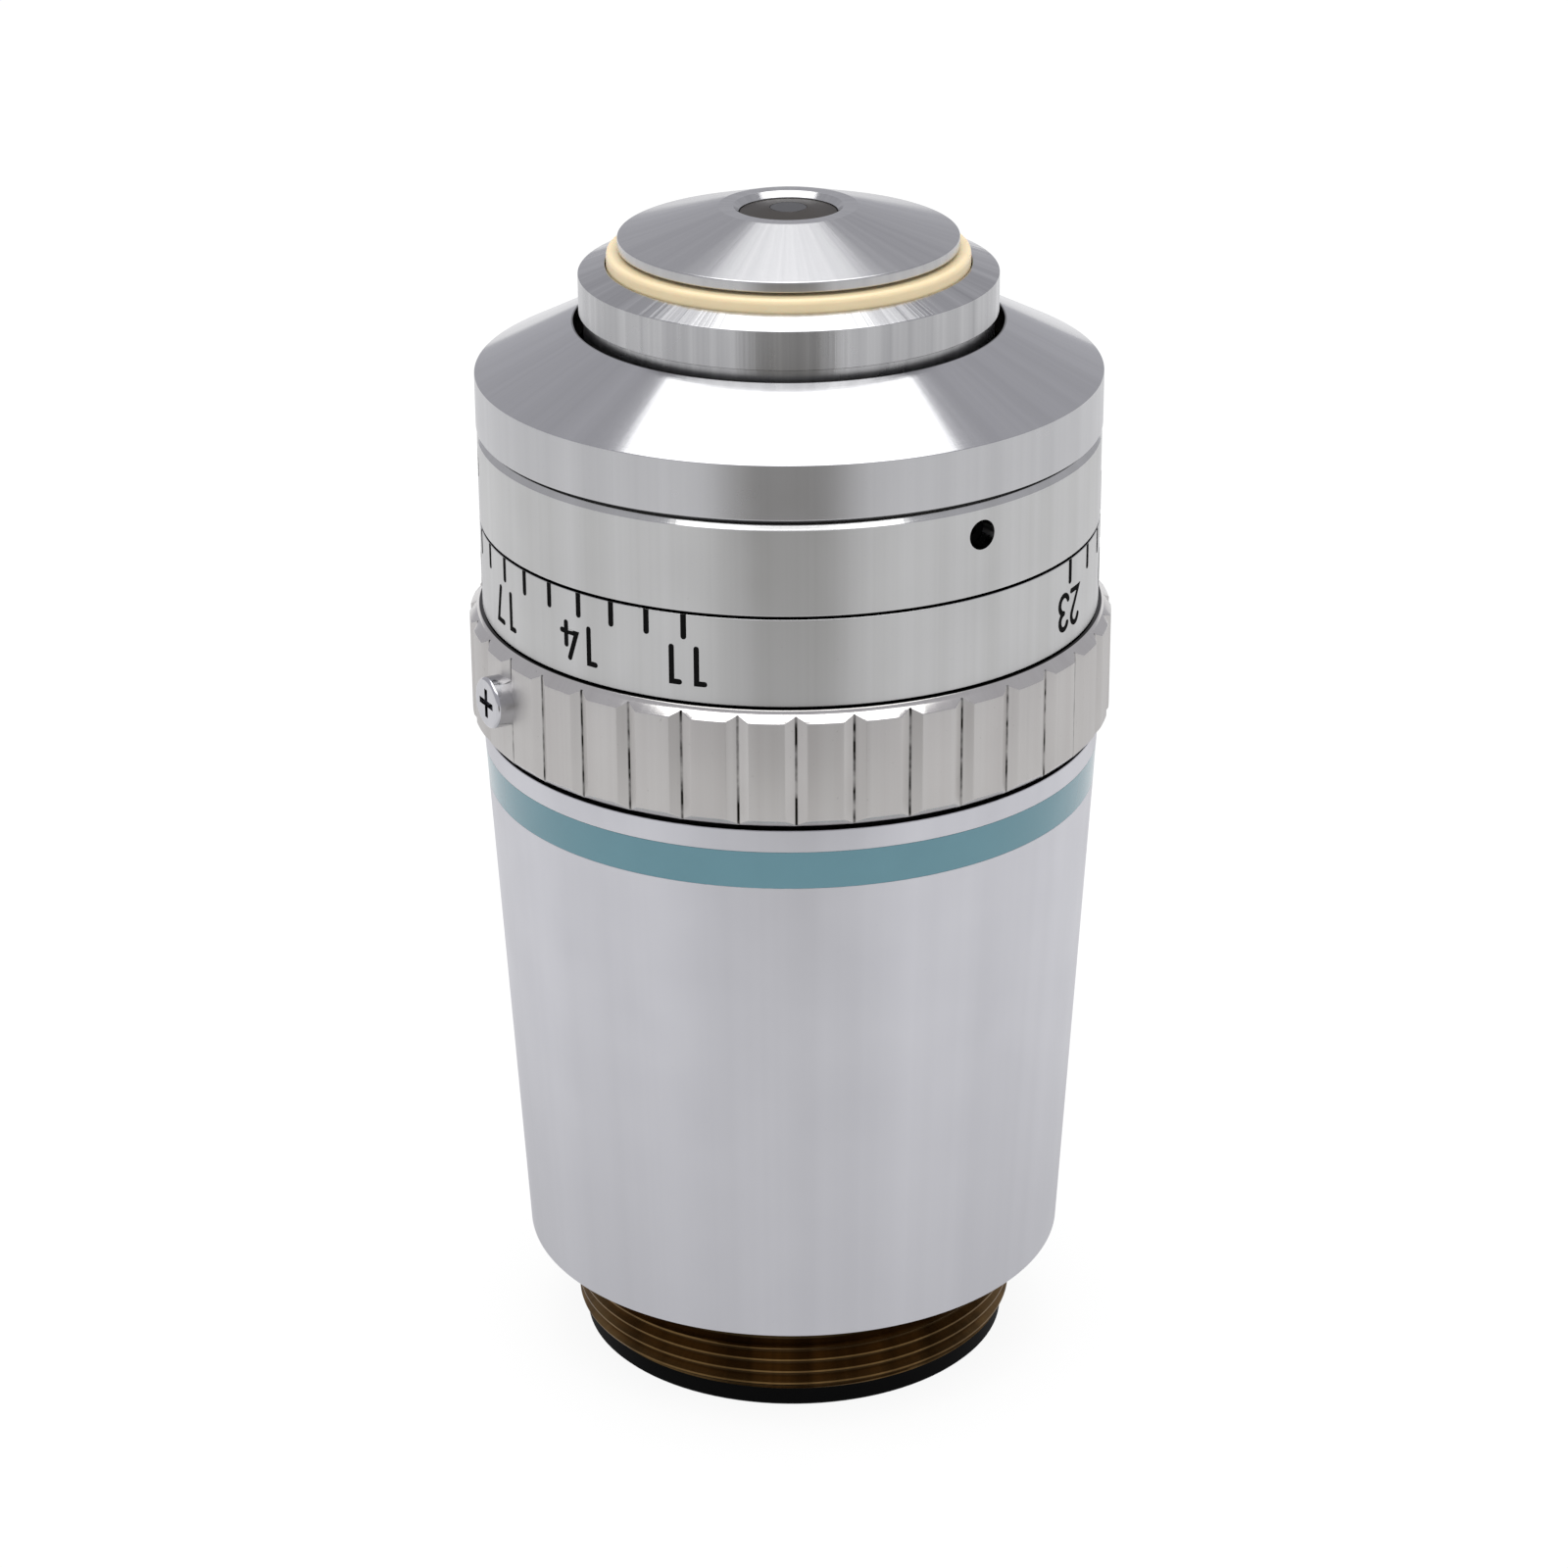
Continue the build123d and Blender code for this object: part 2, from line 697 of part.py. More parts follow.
def collar_screw():
    """Cross-recess pan-head screw. Its plain end drives the cam ring through the body tube's slot."""
    head_z = spot_face_at_r + screw_head_height
    screw = turned(
        (0, cam_bore_r + screw_reach),
        (screw_r, cam_bore_r + screw_reach),
        (screw_r, spot_face_at_r),
        (screw_head_r, spot_face_at_r),
        (screw_head_r, head_z),
        (0, head_z),
    )
    screw = fillet(screw.edges().group_by(Axis.Z)[-1], screw_head_round)
    for turn in (0, 90):
        slot = Box(cross_length, cross_width, cross_depth, align=(Align.CENTER, Align.CENTER, Align.MAX))
        screw -= Pos(0, 0, head_z) * Rot(0, 0, turn) * slot
    return radial_plane(screw_azimuth, screw_z, 0) * screw


def cam_ring():
    """Cam ring with a helical slot for the cell's pin and a straight slot for the drive screw."""
    inside_r = cam_bore_r - slot_end_gap
    outside_r = cam_r + slot_end_gap
    ring = turned(
        (cam_bore_r, cam_bottom_z),
        (cam_r, cam_bottom_z),
        (cam_r, cam_top_z),
        (cam_bore_r, cam_top_z),
    )
    ring -= axial_slot(
        screw_azimuth,
        screw_z - slot_end_gap,
        screw_z + nose_travel + slot_end_gap,
        inside_r,
        outside_r,
        screw_r + running,
    )
    span = turn_down + turn_up
    middle_r = (inside_r + outside_r) / 2
    path = Helix(pitch=cam_lead, height=cam_lead * span / 360, radius=middle_r, lefthand=True)
    section = Plane(origin=path @ 0, x_dir=(1, 0, 0), z_dir=path % 0)
    profile = section * Rectangle(outside_r - inside_r, 2 * cam_slot_half)
    slot = sweep(profile, path=path, is_frenet=True)
    slot = Pos(0, 0, cam_pin_z - lift_down) * Rot(0, 0, cam_pin_azimuth + turn_down) * slot
    ring -= slot
    slot_ends = [
        (cam_pin_azimuth + turn_down, cam_pin_z - lift_down),
        (cam_pin_azimuth - turn_up, cam_pin_z + lift_up),
    ]
    for azimuth, z in slot_ends:
        ring -= radial_rod(azimuth, z, inside_r, outside_r, cam_slot_half)
    return ring


def cam_pin():
    """Pin of the correction cell. It rides in the cam ring's helical slot."""
    return radial_rod(
        cam_pin_azimuth, cam_pin_z, correction_rim + cell_lip, cam_r - cam_pin_reach, cam_pin_r
    )


def nose_cone():
    """Polished nose cone with a threaded stem. It clamps the front cells in the lens core."""
    hole_z = tip_z - nose_bevel
    return turned(
        (nose_hole_r, hole_z - nose_hole_wall),
        (nose_hole_r, hole_z),
        (nose_hole_r + nose_bevel, tip_z),
        (nose_flat_r, tip_z),
        (nose_rim_r, rim_top_z),
        (nose_rim_r, rim_bottom_z),
        (stem_r, rim_bottom_z),
        (stem_r, stem_bottom_z),
        (nose_stem_bore_r, stem_bottom_z),
        (nose_stem_bore_r, tip_z - nose_inner_drop),
    )


def nose_ring():
    """Cream plastic ring between the nose cone and the nose sleeve."""
    ring = turned(
        (stem_r + seat, sleeve_floor_z + seat),
        (ring_r, sleeve_floor_z + seat),
        (ring_r, ring_top_z),
        (stem_r + seat, ring_top_z),
    )
    top_edge = ring.edges().group_by(Axis.Z)[-1].sort_by(SortBy.RADIUS)[-1]
    return fillet(top_edge, ring_round)


def nose_sleeve():
    """Sleeve of the nose. It slides in the body tube and carries the cream ring in its recess."""
    neck_top_z = sleeve_top_z - sleeve_neck_drop
    neck_bottom_z = neck_top_z - sleeve_neck_height
    neck_r = sleeve_r - sleeve_neck_depth
    return turned(
        (core_r + seat, sleeve_bottom_z),
        (sleeve_r, sleeve_bottom_z),
        (sleeve_r, neck_bottom_z),
        (neck_r, neck_bottom_z),
        (neck_r, neck_top_z),
        (sleeve_r, neck_top_z),
        (sleeve_r, sleeve_top_z - sleeve_chamfer_height),
        (sleeve_recess_r + 2 * running, sleeve_top_z),
        (sleeve_recess_r, sleeve_top_z),
        (sleeve_recess_r, sleeve_floor_z),
        (stem_r + 2 * seat, sleeve_floor_z),
        (stem_r + 2 * seat, core_top_z + seat),
        (core_r + seat, core_top_z + seat),
    )


def lens_core():
    """Tube that holds the lens cells, with a guide flange at its foot and a slot for the cell's pin."""
    core = turned(
        (core_rear_bore_r, core_bottom_z),
        (core_tail_r, core_bottom_z),
        (core_tail_r, core_flange_z),
        (core_flange_r, core_flange_z),
        (core_flange_r, stop_z),
        (core_shoulder_r, stop_z),
        (core_shoulder_r, core_shoulder_z),
        (core_r, core_shoulder_z),
        (core_r, core_top_z),
        (core_bore_r, core_top_z),
        (core_bore_r, core_ledge_z + core_ledge),
        (core_ledge_r, core_ledge_z + core_ledge),
        (core_ledge_r, core_ledge_z),
        (core_bore_r, core_ledge_z),
        (core_bore_r, core_step_z),
        (core_rear_bore_r, core_step_z),
    )
    core -= axial_slot(
        cam_pin_azimuth,
        cam_pin_z - lift_down - slot_end_gap,
        cam_pin_z + lift_up + slot_end_gap,
        core_bore_r - slot_end_gap,
        core_r + slot_end_gap,
        cam_slot_half,
    )
    keyway_r = core_shoulder_r + running
    keyway_width = 2 * (guide_pin_r + running)
    block = Box(
        core_flange_r - keyway_r + slot_end_gap,
        keyway_width,
        core_flange_height,
        align=(Align.MIN, Align.CENTER, Align.MIN),
    )
    return core - Rot(0, 0, guide_pin_azimuth) * Pos(keyway_r, 0, core_flange_z) * block


def front_lens_cutter(grow):
    """The front lens, or with a larger radius the seat that holds it."""
    ball_r = front_lens_r + grow
    face_r = front_face_r + grow
    centre_z = front_lens_bottom_z + front_lens_r
    side = math.sqrt(2) / 2
    ball = ThreePointArc(
        (0, 0, centre_z - ball_r),
        (ball_r * side, 0, centre_z - ball_r * side),
        (face_r, 0, centre_z + math.sqrt(ball_r ** 2 - face_r ** 2)),
    )
    top_z = (ball @ 1).Z
    outline = [ball, Line(ball @ 1, (0, 0, top_z)), Line((0, 0, top_z), ball @ 0)]
    return revolve(make_face(outline), Axis.Z)


def front_lens():
    """Plano-spherical front lens."""
    return front_lens_cutter(0)


def front_cell():
    """Black cell of the front lens. Its shallow dish closes the nose's hole."""
    outer_r = nose_stem_bore_r - running
    lens_hole_r = front_face_r + seat
    hole_r = nose_hole_r - running
    hole_z = tip_z - nose_bevel - nose_hole_wall
    drop = 2 * seat
    ball_z = front_lens_bottom_z + front_lens_r
    bore_r = front_lens_r + seat
    flare_r = meniscus_rim - cell_lip
    body = turned(
        (lens_hole_r, ball_z),
        (lens_hole_r, front_face_z),
        (hole_r, tip_z - front_recess - dish_drop),
        (hole_r, hole_z - drop),
        (outer_r, tip_z - nose_inner_drop - drop),
        (outer_r, front_cell_bottom_z),
        (flare_r, front_cell_bottom_z),
        (bore_r, ball_z - front_lens_r / 2),
        (bore_r, ball_z),
    )
    return body - front_lens_cutter(seat)


def meniscus_lens():
    """Meniscus behind the front lens."""
    return lens(meniscus_z, meniscus_thickness, meniscus_rim, meniscus_front_ratio, meniscus_rear_ratio)


def meniscus_cell():
    """Cell of the meniscus."""
    outer_r = nose_stem_bore_r - seat
    bottom_z = doublet_a_top_z + seat
    return cell(outer_r, meniscus_cell_top_z, bottom_z, meniscus_rim, meniscus_lip_z)


def doublet_a_crown():
    """Front element of the first cemented doublet."""
    return lens(
        doublet_a_z,
        doublet_a_crown_thickness,
        doublet_a_rim,
        doublet_a_front_ratio,
        doublet_a_middle_ratio,
    )


def doublet_a_flint():
    """Rear element of the first cemented doublet."""
    return lens(
        doublet_a_split_z - cement,
        doublet_a_flint_thickness,
        doublet_a_rim,
        -doublet_a_middle_ratio,
        doublet_a_rear_ratio,
    )


def doublet_a_cell():
    """Cell of the first doublet, flush with the end of the nose cone's stem."""
    return cell(nose_stem_bore_r - seat, doublet_a_top_z, stem_bottom_z, doublet_a_rim, doublet_a_lip_z)


def doublet_b_crown():
    """Front element of the second cemented doublet."""
    return lens(
        doublet_b_z,
        doublet_b_crown_thickness,
        doublet_b_rim,
        doublet_b_front_ratio,
        doublet_b_middle_ratio,
    )


def doublet_b_flint():
    """Rear element of the second cemented doublet."""
    return lens(
        doublet_b_split_z - cement,
        doublet_b_flint_thickness,
        doublet_b_rim,
        -doublet_b_middle_ratio,
        doublet_b_rear_ratio,
    )


def doublet_b_cell():
    """Cell of the second doublet, clamped under the nose cone's stem."""
    return cell(stem_r, doublet_b_top_z, doublet_b_bottom_z, doublet_b_rim, doublet_b_lip_z)


def front_spacer():
    """Spacer between the second doublet and the lens core's ledge."""
    top_z = doublet_b_bottom_z - seat
    bottom_z = core_ledge_z + core_ledge + seat
    return turned(
        (core_ledge_r, bottom_z),
        (stem_r, bottom_z),
        (stem_r, top_z),
        (core_ledge_r, top_z),
    )


def correction_crown():
    """Front element of the moving correction doublet."""
    return lens(
        correction_z,
        correction_crown_thickness,
        correction_rim,
        correction_front_ratio,
        correction_middle_ratio,
    )


def correction_flint():
    """Rear element of the moving correction doublet."""
    return lens(
        correction_split_z - cement,
        correction_flint_thickness,
        correction_rim,
        -correction_middle_ratio,
        correction_rear_ratio,
    )


def correction_cell():
    """Cell that slides in the lens core. Its thick foot holds the cam pin."""
    outer_r = core_bore_r - running
    thread_bore_r = correction_lock_r + seat
    bore_r = correction_rim + seat
    lip_r = correction_rim - cell_lip
    lens_edge_z = correction_lock_z - seat
    body = turned(
        (lip_r, correction_bottom_z),
        (outer_r, correction_bottom_z),
        (outer_r, correction_top_z),
        (thread_bore_r, correction_top_z),
        (thread_bore_r, lens_edge_z),
        (bore_r, lens_edge_z),
        (bore_r, correction_lip_z),
        (lip_r, correction_lip_z),
    )
    return body - radial_rod(
        cam_pin_azimuth, cam_pin_z, correction_rim + cell_lip - cement, core_bore_r, cam_pin_r + cement
    )


def correction_lock_ring():
    """Threaded ring that keeps the correction doublet in its cell."""
    top_z = correction_lock_z + correction_lock_height
    ring = turned(
        (correction_rim - cell_lip, correction_lock_z),
        (correction_lock_r, correction_lock_z),
        (correction_lock_r, top_z),
        (correction_rim - cell_lip, top_z),
    )
    slot_from_r = correction_rim / 2
    slot_to_r = correction_lock_r + seat
    return ring - face_slots(slot_from_r, slot_to_r, top_z - lock_slot_depth, top_z, lock_slot_width)


def thick_meniscus_crown():
    """Front element of the thick meniscus behind the correction doublet."""
    return lens(thick_z, thick_crown_thickness, thick_rim, thick_front_ratio, thick_middle_ratio)


def thick_meniscus_flint():
    """Rear element of the thick meniscus."""
    return lens(
        thick_split_z - cement,
        thick_flint_thickness,
        thick_rim,
        -thick_middle_ratio,
        thick_rear_ratio,
    )


def thick_meniscus_cell():
    """Cell of the thick meniscus."""
    return cell(rear_cell_r, thick_top_z, thick_bottom_z, thick_rim, thick_lip_z)


def rear_doublet_flint():
    """Front element of the rear doublet."""
    return lens(rear_lens_z, rear_flint_thickness, rear_rim, rear_front_ratio, rear_middle_ratio)


def rear_doublet_crown():
    """Rear element of the rear doublet."""
    return lens(
        rear_split_z - cement,
        rear_crown_thickness,
        rear_rim,
        -rear_middle_ratio,
        rear_rear_ratio,
    )


def rear_doublet_cell():
    """Cell of the rear doublet."""
    return cell(rear_cell_r, rear_cell_top_z, rear_cell_bottom_z, rear_rim, rear_lip_z)


def rear_stop():
    """Thin black disc with the exit pupil's hole."""
    return turned(
        (stop_hole_r, rear_stop_z - stop_thickness),
        (rear_cell_r, rear_stop_z - stop_thickness),
        (rear_cell_r, rear_stop_z),
        (stop_hole_r, rear_stop_z),
    )


def rear_lock_ring():
    """Threaded ring that keeps the rear cells in the lens core."""
    ring = turned(
        (lock_bore_r, lock_bottom_z),
        (rear_cell_r, lock_bottom_z),
        (rear_cell_r, lock_top_z),
        (lock_bore_r, lock_top_z),
    )
    slot_from_r = lock_bore_r / 2
    slot_to_r = rear_cell_r + seat
    slot_to_z = lock_bottom_z + lock_slot_depth
    return ring - face_slots(slot_from_r, slot_to_r, lock_bottom_z, slot_to_z, lock_slot_width)


pieces = [
    mount_ring,
    rear_ring,
    outer_barrel,
    colour_ring,
    body_tube,
    guide_pin,
    main_spring,
    index_sleeve,
    front_cover,
    drag_washer,
    scale_ring,
    grip_ring,
    collar_screw,
    cam_ring,
    cam_pin,
    correction_cell,
    correction_crown,
    correction_flint,
    correction_lock_ring,
    nose_cone,
    nose_ring,
    nose_sleeve,
    lens_core,
    front_cell,
    front_lens,
    meniscus_cell,
    meniscus_lens,
    doublet_a_cell,
    doublet_a_crown,
    doublet_a_flint,
    doublet_b_cell,
    doublet_b_crown,
    doublet_b_flint,
    front_spacer,
    thick_meniscus_cell,
    thick_meniscus_crown,
    thick_meniscus_flint,
    rear_doublet_cell,
    rear_doublet_flint,
    rear_doublet_crown,
    rear_stop,
    rear_lock_ring,
]

os.makedirs("parts", exist_ok=True)
for piece in pieces:
    export_step(piece(), f"parts/{piece.__name__}.step")
for number, azimuth in enumerate(set_screw_azimuths(), start=1):
    export_step(index_set_screw(azimuth), f"parts/index_set_screw_{number}.step")
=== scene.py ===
import math

import bmesh
import bpy
from mathutils import Matrix, Vector


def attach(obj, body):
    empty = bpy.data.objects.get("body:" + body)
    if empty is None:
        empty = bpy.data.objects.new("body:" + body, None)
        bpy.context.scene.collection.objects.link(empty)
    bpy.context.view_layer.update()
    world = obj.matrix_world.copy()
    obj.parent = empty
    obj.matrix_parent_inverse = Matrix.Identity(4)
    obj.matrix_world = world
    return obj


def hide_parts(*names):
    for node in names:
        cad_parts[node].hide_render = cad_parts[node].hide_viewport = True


mm = 0.001  # the sizes below are in millimetres

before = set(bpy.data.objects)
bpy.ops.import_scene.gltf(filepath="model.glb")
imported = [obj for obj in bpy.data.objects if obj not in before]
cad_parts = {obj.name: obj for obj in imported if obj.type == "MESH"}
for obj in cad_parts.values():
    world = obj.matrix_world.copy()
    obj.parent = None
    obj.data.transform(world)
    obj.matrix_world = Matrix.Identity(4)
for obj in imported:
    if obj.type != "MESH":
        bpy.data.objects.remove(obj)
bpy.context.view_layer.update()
print("frame:", len(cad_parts), "nodes")


def linear(hexCode):
    channels = [int(hexCode[i : i + 2], 16) / 255 for i in (1, 3, 5)]
    return (*[c / 12.92 if c <= 0.04045 else ((c + 0.055) / 1.055) ** 2.4 for c in channels], 1.0)


def addNode(tree, kind, inputs=None, **settings):
    node = tree.nodes.new(kind)
    for key, value in settings.items():
        setattr(node, key, value)
    for key, value in (inputs or {}).items():
        if isinstance(value, bpy.types.NodeSocket):
            tree.links.new(value, node.inputs[key])
        else:
            node.inputs[key].default_value = value
    return node


def newMaterial(name):
    material = bpy.data.materials.new(name)
    material.use_nodes = True
    material.node_tree.nodes.clear()
    return material, material.node_tree


# Places on a turned part, in millimetres: along the profile, and round the axis.
def turnedPlaces(tree):
    spot = addNode(tree, "ShaderNodeTexCoord").outputs["Object"]
    spotMm = addNode(tree, "ShaderNodeVectorMath", {0: spot, "Scale": 1 / mm}, operation="SCALE").outputs[0]
    flat = addNode(tree, "ShaderNodeVectorMath", {0: spotMm, 1: (1, 1, 0)}, operation="MULTIPLY").outputs[0]
    radius = addNode(tree, "ShaderNodeVectorMath", {0: flat}, operation="LENGTH").outputs["Value"]
    heading = addNode(tree, "ShaderNodeVectorMath", {0: flat}, operation="NORMALIZE").outputs[0]
    height = addNode(tree, "ShaderNodeSeparateXYZ", {0: spotMm}).outputs["Z"]
    profile = addNode(tree, "ShaderNodeCombineXYZ", {"X": radius, "Y": height}).outputs[0]
    return spotMm, profile, heading, radius


# How far a face leans from upright: 0 on a wall, 1 on a flat face.
def flatness(tree):
    normal = addNode(tree, "ShaderNodeTexCoord").outputs["Normal"]
    upright = addNode(tree, "ShaderNodeSeparateXYZ", {0: normal}).outputs["Z"]
    return addNode(tree, "ShaderNodeMath", {0: upright, 1: 0.0}, operation="ABSOLUTE").outputs[0]


# Painted shade within a range of radii and on the flat faces inside the gaps, and a dark line, in patches,
# along groove bottoms.
def soilMask(tree, look, spotMm, heading, radius):
    shadedR, litR = look.get("shadedRadii", (0.0, 0.001))
    inside = addNode(
        tree,
        "ShaderNodeMapRange",
        {"Value": radius, "From Min": shadedR, "From Max": litR, "To Min": 1.0, "To Max": 0.0},
    ).outputs[0]
    flat = addNode(
        tree,
        "ShaderNodeMapRange",
        {
            "Value": flatness(tree),
            "From Min": 0.9,
            "From Max": 0.98,
            "To Min": 0.0,
            "To Max": look.get("flatShade", 0.0),
        },
    ).outputs[0]
    mask = addNode(tree, "ShaderNodeMath", {0: inside, 1: flat}, operation="MAXIMUM").outputs[0]
    if "grooves" not in look:
        return mask
    grooves = look["grooves"]
    first = math.radians(grooves["first"])
    count = float(grooves["count"])
    sides = addNode(tree, "ShaderNodeSeparateXYZ", {0: heading}).outputs
    angle = addNode(tree, "ShaderNodeMath", {0: sides["Y"], 1: sides["X"]}, operation="ARCTAN2").outputs[0]
    offset = addNode(tree, "ShaderNodeMath", {0: angle, 1: first}, operation="SUBTRACT").outputs[0]
    around = addNode(tree, "ShaderNodeMath", {0: offset, 1: count}, operation="MULTIPLY").outputs[0]
    nearness = addNode(tree, "ShaderNodeMath", {0: around, 1: 0.0}, operation="COSINE").outputs[0]
    bottom = addNode(
        tree,
        "ShaderNodeMapRange",
        {"Value": nearness, "From Min": 0.982, "From Max": 0.997, "To Min": 0.0, "To Max": 1.0},
    ).outputs[0]
    # the dark line lies in patches, and only as deep as the grooves reach
    patches = addNode(
        tree,
        "ShaderNodeTexNoise",
        {"Vector": spotMm, "Scale": 0.9, "Detail": 3.0},
    ).outputs["Fac"]
    left = addNode(
        tree,
        "ShaderNodeMapRange",
        {"Value": patches, "From Min": 0.36, "From Max": 0.6, "To Min": 0.3, "To Max": 1.0},
    ).outputs[0]
    deep = addNode(
        tree,
        "ShaderNodeMapRange",
        {"Value": radius, "From Min": grooves["floorR"] - 0.03, "From Max": grooves["floorR"] - 0.01},
    ).outputs[0]
    grooveLine = addNode(tree, "ShaderNodeMath", {0: bottom, 1: left}, operation="MULTIPLY").outputs[0]
    grooveLine = addNode(tree, "ShaderNodeMath", {0: grooveLine, 1: deep}, operation="MULTIPLY").outputs[0]
    return addNode(tree, "ShaderNodeMath", {0: mask, 1: grooveLine}, operation="MAXIMUM").outputs[0]


# A metal finished on a lathe. Fine rings run round it, so a lamp's reflection is drawn out along
# the profile, and faint streaks run the other way where the polishing cloth went.
def turnedMetal(name, look):
    material, tree = newMaterial(name)
    spotMm, profile, heading, radius = turnedPlaces(tree)
    rings = addNode(
        tree,
        "ShaderNodeTexNoise",
        {"Vector": profile, "Scale": 1 / look["ringPitch"], "Detail": 2.0, "Roughness": 0.6},
    )
    streaks = addNode(
        tree,
        "ShaderNodeTexNoise",
        {"Vector": heading, "Scale": look["streakScale"], "Detail": 4.0, "Roughness": 0.62},
    )
    cloud = addNode(tree, "ShaderNodeTexNoise", {"Vector": spotMm, "Scale": 0.22, "Detail": 3.0})
    specks = addNode(
        tree,
        "ShaderNodeTexNoise",
        {"Vector": spotMm, "Scale": 3.2, "Detail": 4.0, "Roughness": 0.7},
    )
    speckMask = addNode(
        tree,
        "ShaderNodeMapRange",
        {
            "Value": specks.outputs["Fac"],
            "From Min": 0.66,
            "From Max": 0.78,
            "To Min": 0.0,
            "To Max": look["specks"],
        },
    )
    tone = addNode(
        tree,
        "ShaderNodeMapRange",
        {"Value": streaks.outputs["Fac"], "From Min": 0.3, "From Max": 0.7, "To Min": 0.0, "To Max": 1.0},
    )
    base = addNode(
        tree,
        "ShaderNodeMix",
        {"Factor": tone.outputs[0], "A": linear(look["dark"]), "B": linear(look["light"])},
        data_type="RGBA",
    )
    worn = addNode(
        tree,
        "ShaderNodeMix",
        {"Factor": speckMask.outputs[0], "A": base.outputs["Result"], "B": linear("#4a443c")},
        data_type="RGBA",
    )
    # painted shade: near-black mixed over the base colour in the gaps, with a dark line along groove bottoms
    shadedBase = addNode(
        tree,
        "ShaderNodeMix",
        {
            "Factor": soilMask(tree, look, spotMm, heading, radius),
            "A": worn.outputs["Result"],
            "B": linear("#15130f"),
        },
        data_type="RGBA",
    )
    rough = addNode(
        tree,
        "ShaderNodeMapRange",
        {
            "Value": cloud.outputs["Fac"],
            "From Min": 0.3,
            "From Max": 0.7,
            "To Min": look["roughness"] - 0.03,
            "To Max": look["roughness"] + 0.03,
        },
    )
    # chamfers are cut last with a sharp tool, and stay glossier than the faces beside them
    chamfer = addNode(
        tree,
        "ShaderNodeMapRange",
        {"Value": flatness(tree), "From Min": 0.3, "From Max": 0.5},
    ).outputs[0]
    gloss = addNode(
        tree,
        "ShaderNodeMix",
        {"Factor": chamfer, "A": rough.outputs[0], "B": look.get("chamferRoughness", look["roughness"])},
        data_type="FLOAT",
    )
    waves = addNode(
        tree,
        "ShaderNodeBump",
        {"Height": streaks.outputs["Fac"], "Strength": look["streakDepth"], "Distance": 0.2 * mm},
    )
    lines = addNode(
        tree,
        "ShaderNodeBump",
        {
            "Height": rings.outputs["Fac"],
            "Strength": look["ringDepth"],
            "Distance": 0.01 * mm,
            "Normal": waves.outputs[0],
        },
    )
    tangent = addNode(tree, "ShaderNodeTangent", direction_type="RADIAL", axis="Z")
    shader = addNode(
        tree,
        "ShaderNodeBsdfPrincipled",
        {
            "Base Color": shadedBase.outputs["Result"],
            "Metallic": 1.0,
            "Roughness": gloss.outputs["Result"],
            "Anisotropic": look["drawnOut"],
            "Anisotropic Rotation": 0.25,
            "Normal": lines.outputs[0],
            "Tangent": tangent.outputs[0],
        },
    )
    addNode(tree, "ShaderNodeOutputMaterial", {"Surface": shader.outputs[0]})
    return material


# A moulded, painted or blackened surface: one colour with a faint mottle and a fine grain.
def plainCoat(name, look):
    material, tree = newMaterial(name)
    spotMm = turnedPlaces(tree)[0]
    mottle = addNode(
        tree,
        "ShaderNodeTexNoise",
        {"Vector": spotMm, "Scale": look["mottleScale"], "Detail": 4.0},
    )
    grain = addNode(
        tree,
        "ShaderNodeTexNoise",
        {"Vector": spotMm, "Scale": look["grainScale"], "Detail": 2.0},
    )
    base = addNode(
        tree,
        "ShaderNodeMix",
        {"Factor": mottle.outputs["Fac"], "A": linear(look["dark"]), "B": linear(look["light"])},
        data_type="RGBA",
    )
    bump = addNode(
        tree,
        "ShaderNodeBump",
        {"Height": grain.outputs["Fac"], "Strength": look["grainDepth"], "Distance": 0.01 * mm},
    )
    shader = addNode(
        tree,
        "ShaderNodeBsdfPrincipled",
        {
            "Base Color": base.outputs["Result"],
            "Metallic": look["metallic"],
            "Roughness": look["roughness"],
            "Specular IOR Level": look.get("shine", 0.5),
            "Coat Weight": look["coat"],
            "Coat Roughness": 0.08,
            "Subsurface Weight": look["glow"],
            "Subsurface Scale": 0.4 * mm,
            "Normal": bump.outputs[0],
        },
    )
    addNode(tree, "ShaderNodeOutputMaterial", {"Surface": shader.outputs[0]})
    return material


def coatedGlass(name, tint, ior, coat):
    material, tree = newMaterial(name)
    shader = addNode(
        tree,
        "ShaderNodeBsdfPrincipled",
        {
            "Base Color": linear(tint),
            "Transmission Weight": 1.0,
            "Roughness": 0.0,
            "IOR": ior,
            "Coat Weight": coat,
            "Coat Tint": linear("#b9a4e6"),
        },
    )
    addNode(tree, "ShaderNodeOutputMaterial", {"Surface": shader.outputs[0]})
    return material


# Satin chrome over brass, fine turned and then blasted lightly: soft, even, a little cool.
barrelPlate = turnedMetal(
    "satin_chrome_barrel",
    {
        "light": "#dedee2",
        "dark": "#d4d4d8",
        "roughness": 0.42,
        "drawnOut": 0.5,
        "ringPitch": 0.12,
        "ringDepth": 0.12,
        "streakScale": 3.0,
        "streakDepth": 0.02,
        "specks": 0.05,
        # painted shade on the flat faces inside the gaps
        "flatShade": 1.0,
    },
)
# The same plate with a brighter turned finish, so that it mirrors more of the room.
ringPlate = turnedMetal(
    "turned_chrome_rings",
    {
        "light": "#d2d2d1",
        "dark": "#c6c6c4",
        "chamferRoughness": 0.12,
        "roughness": 0.36,
        "drawnOut": 0.7,
        "ringPitch": 0.1,
        "ringDepth": 0.15,
        "streakScale": 9.0,
        "streakDepth": 0.06,
        "specks": 0.1,
        # painted shade on the flat faces inside the gaps
        "flatShade": 1.0,
    },
)
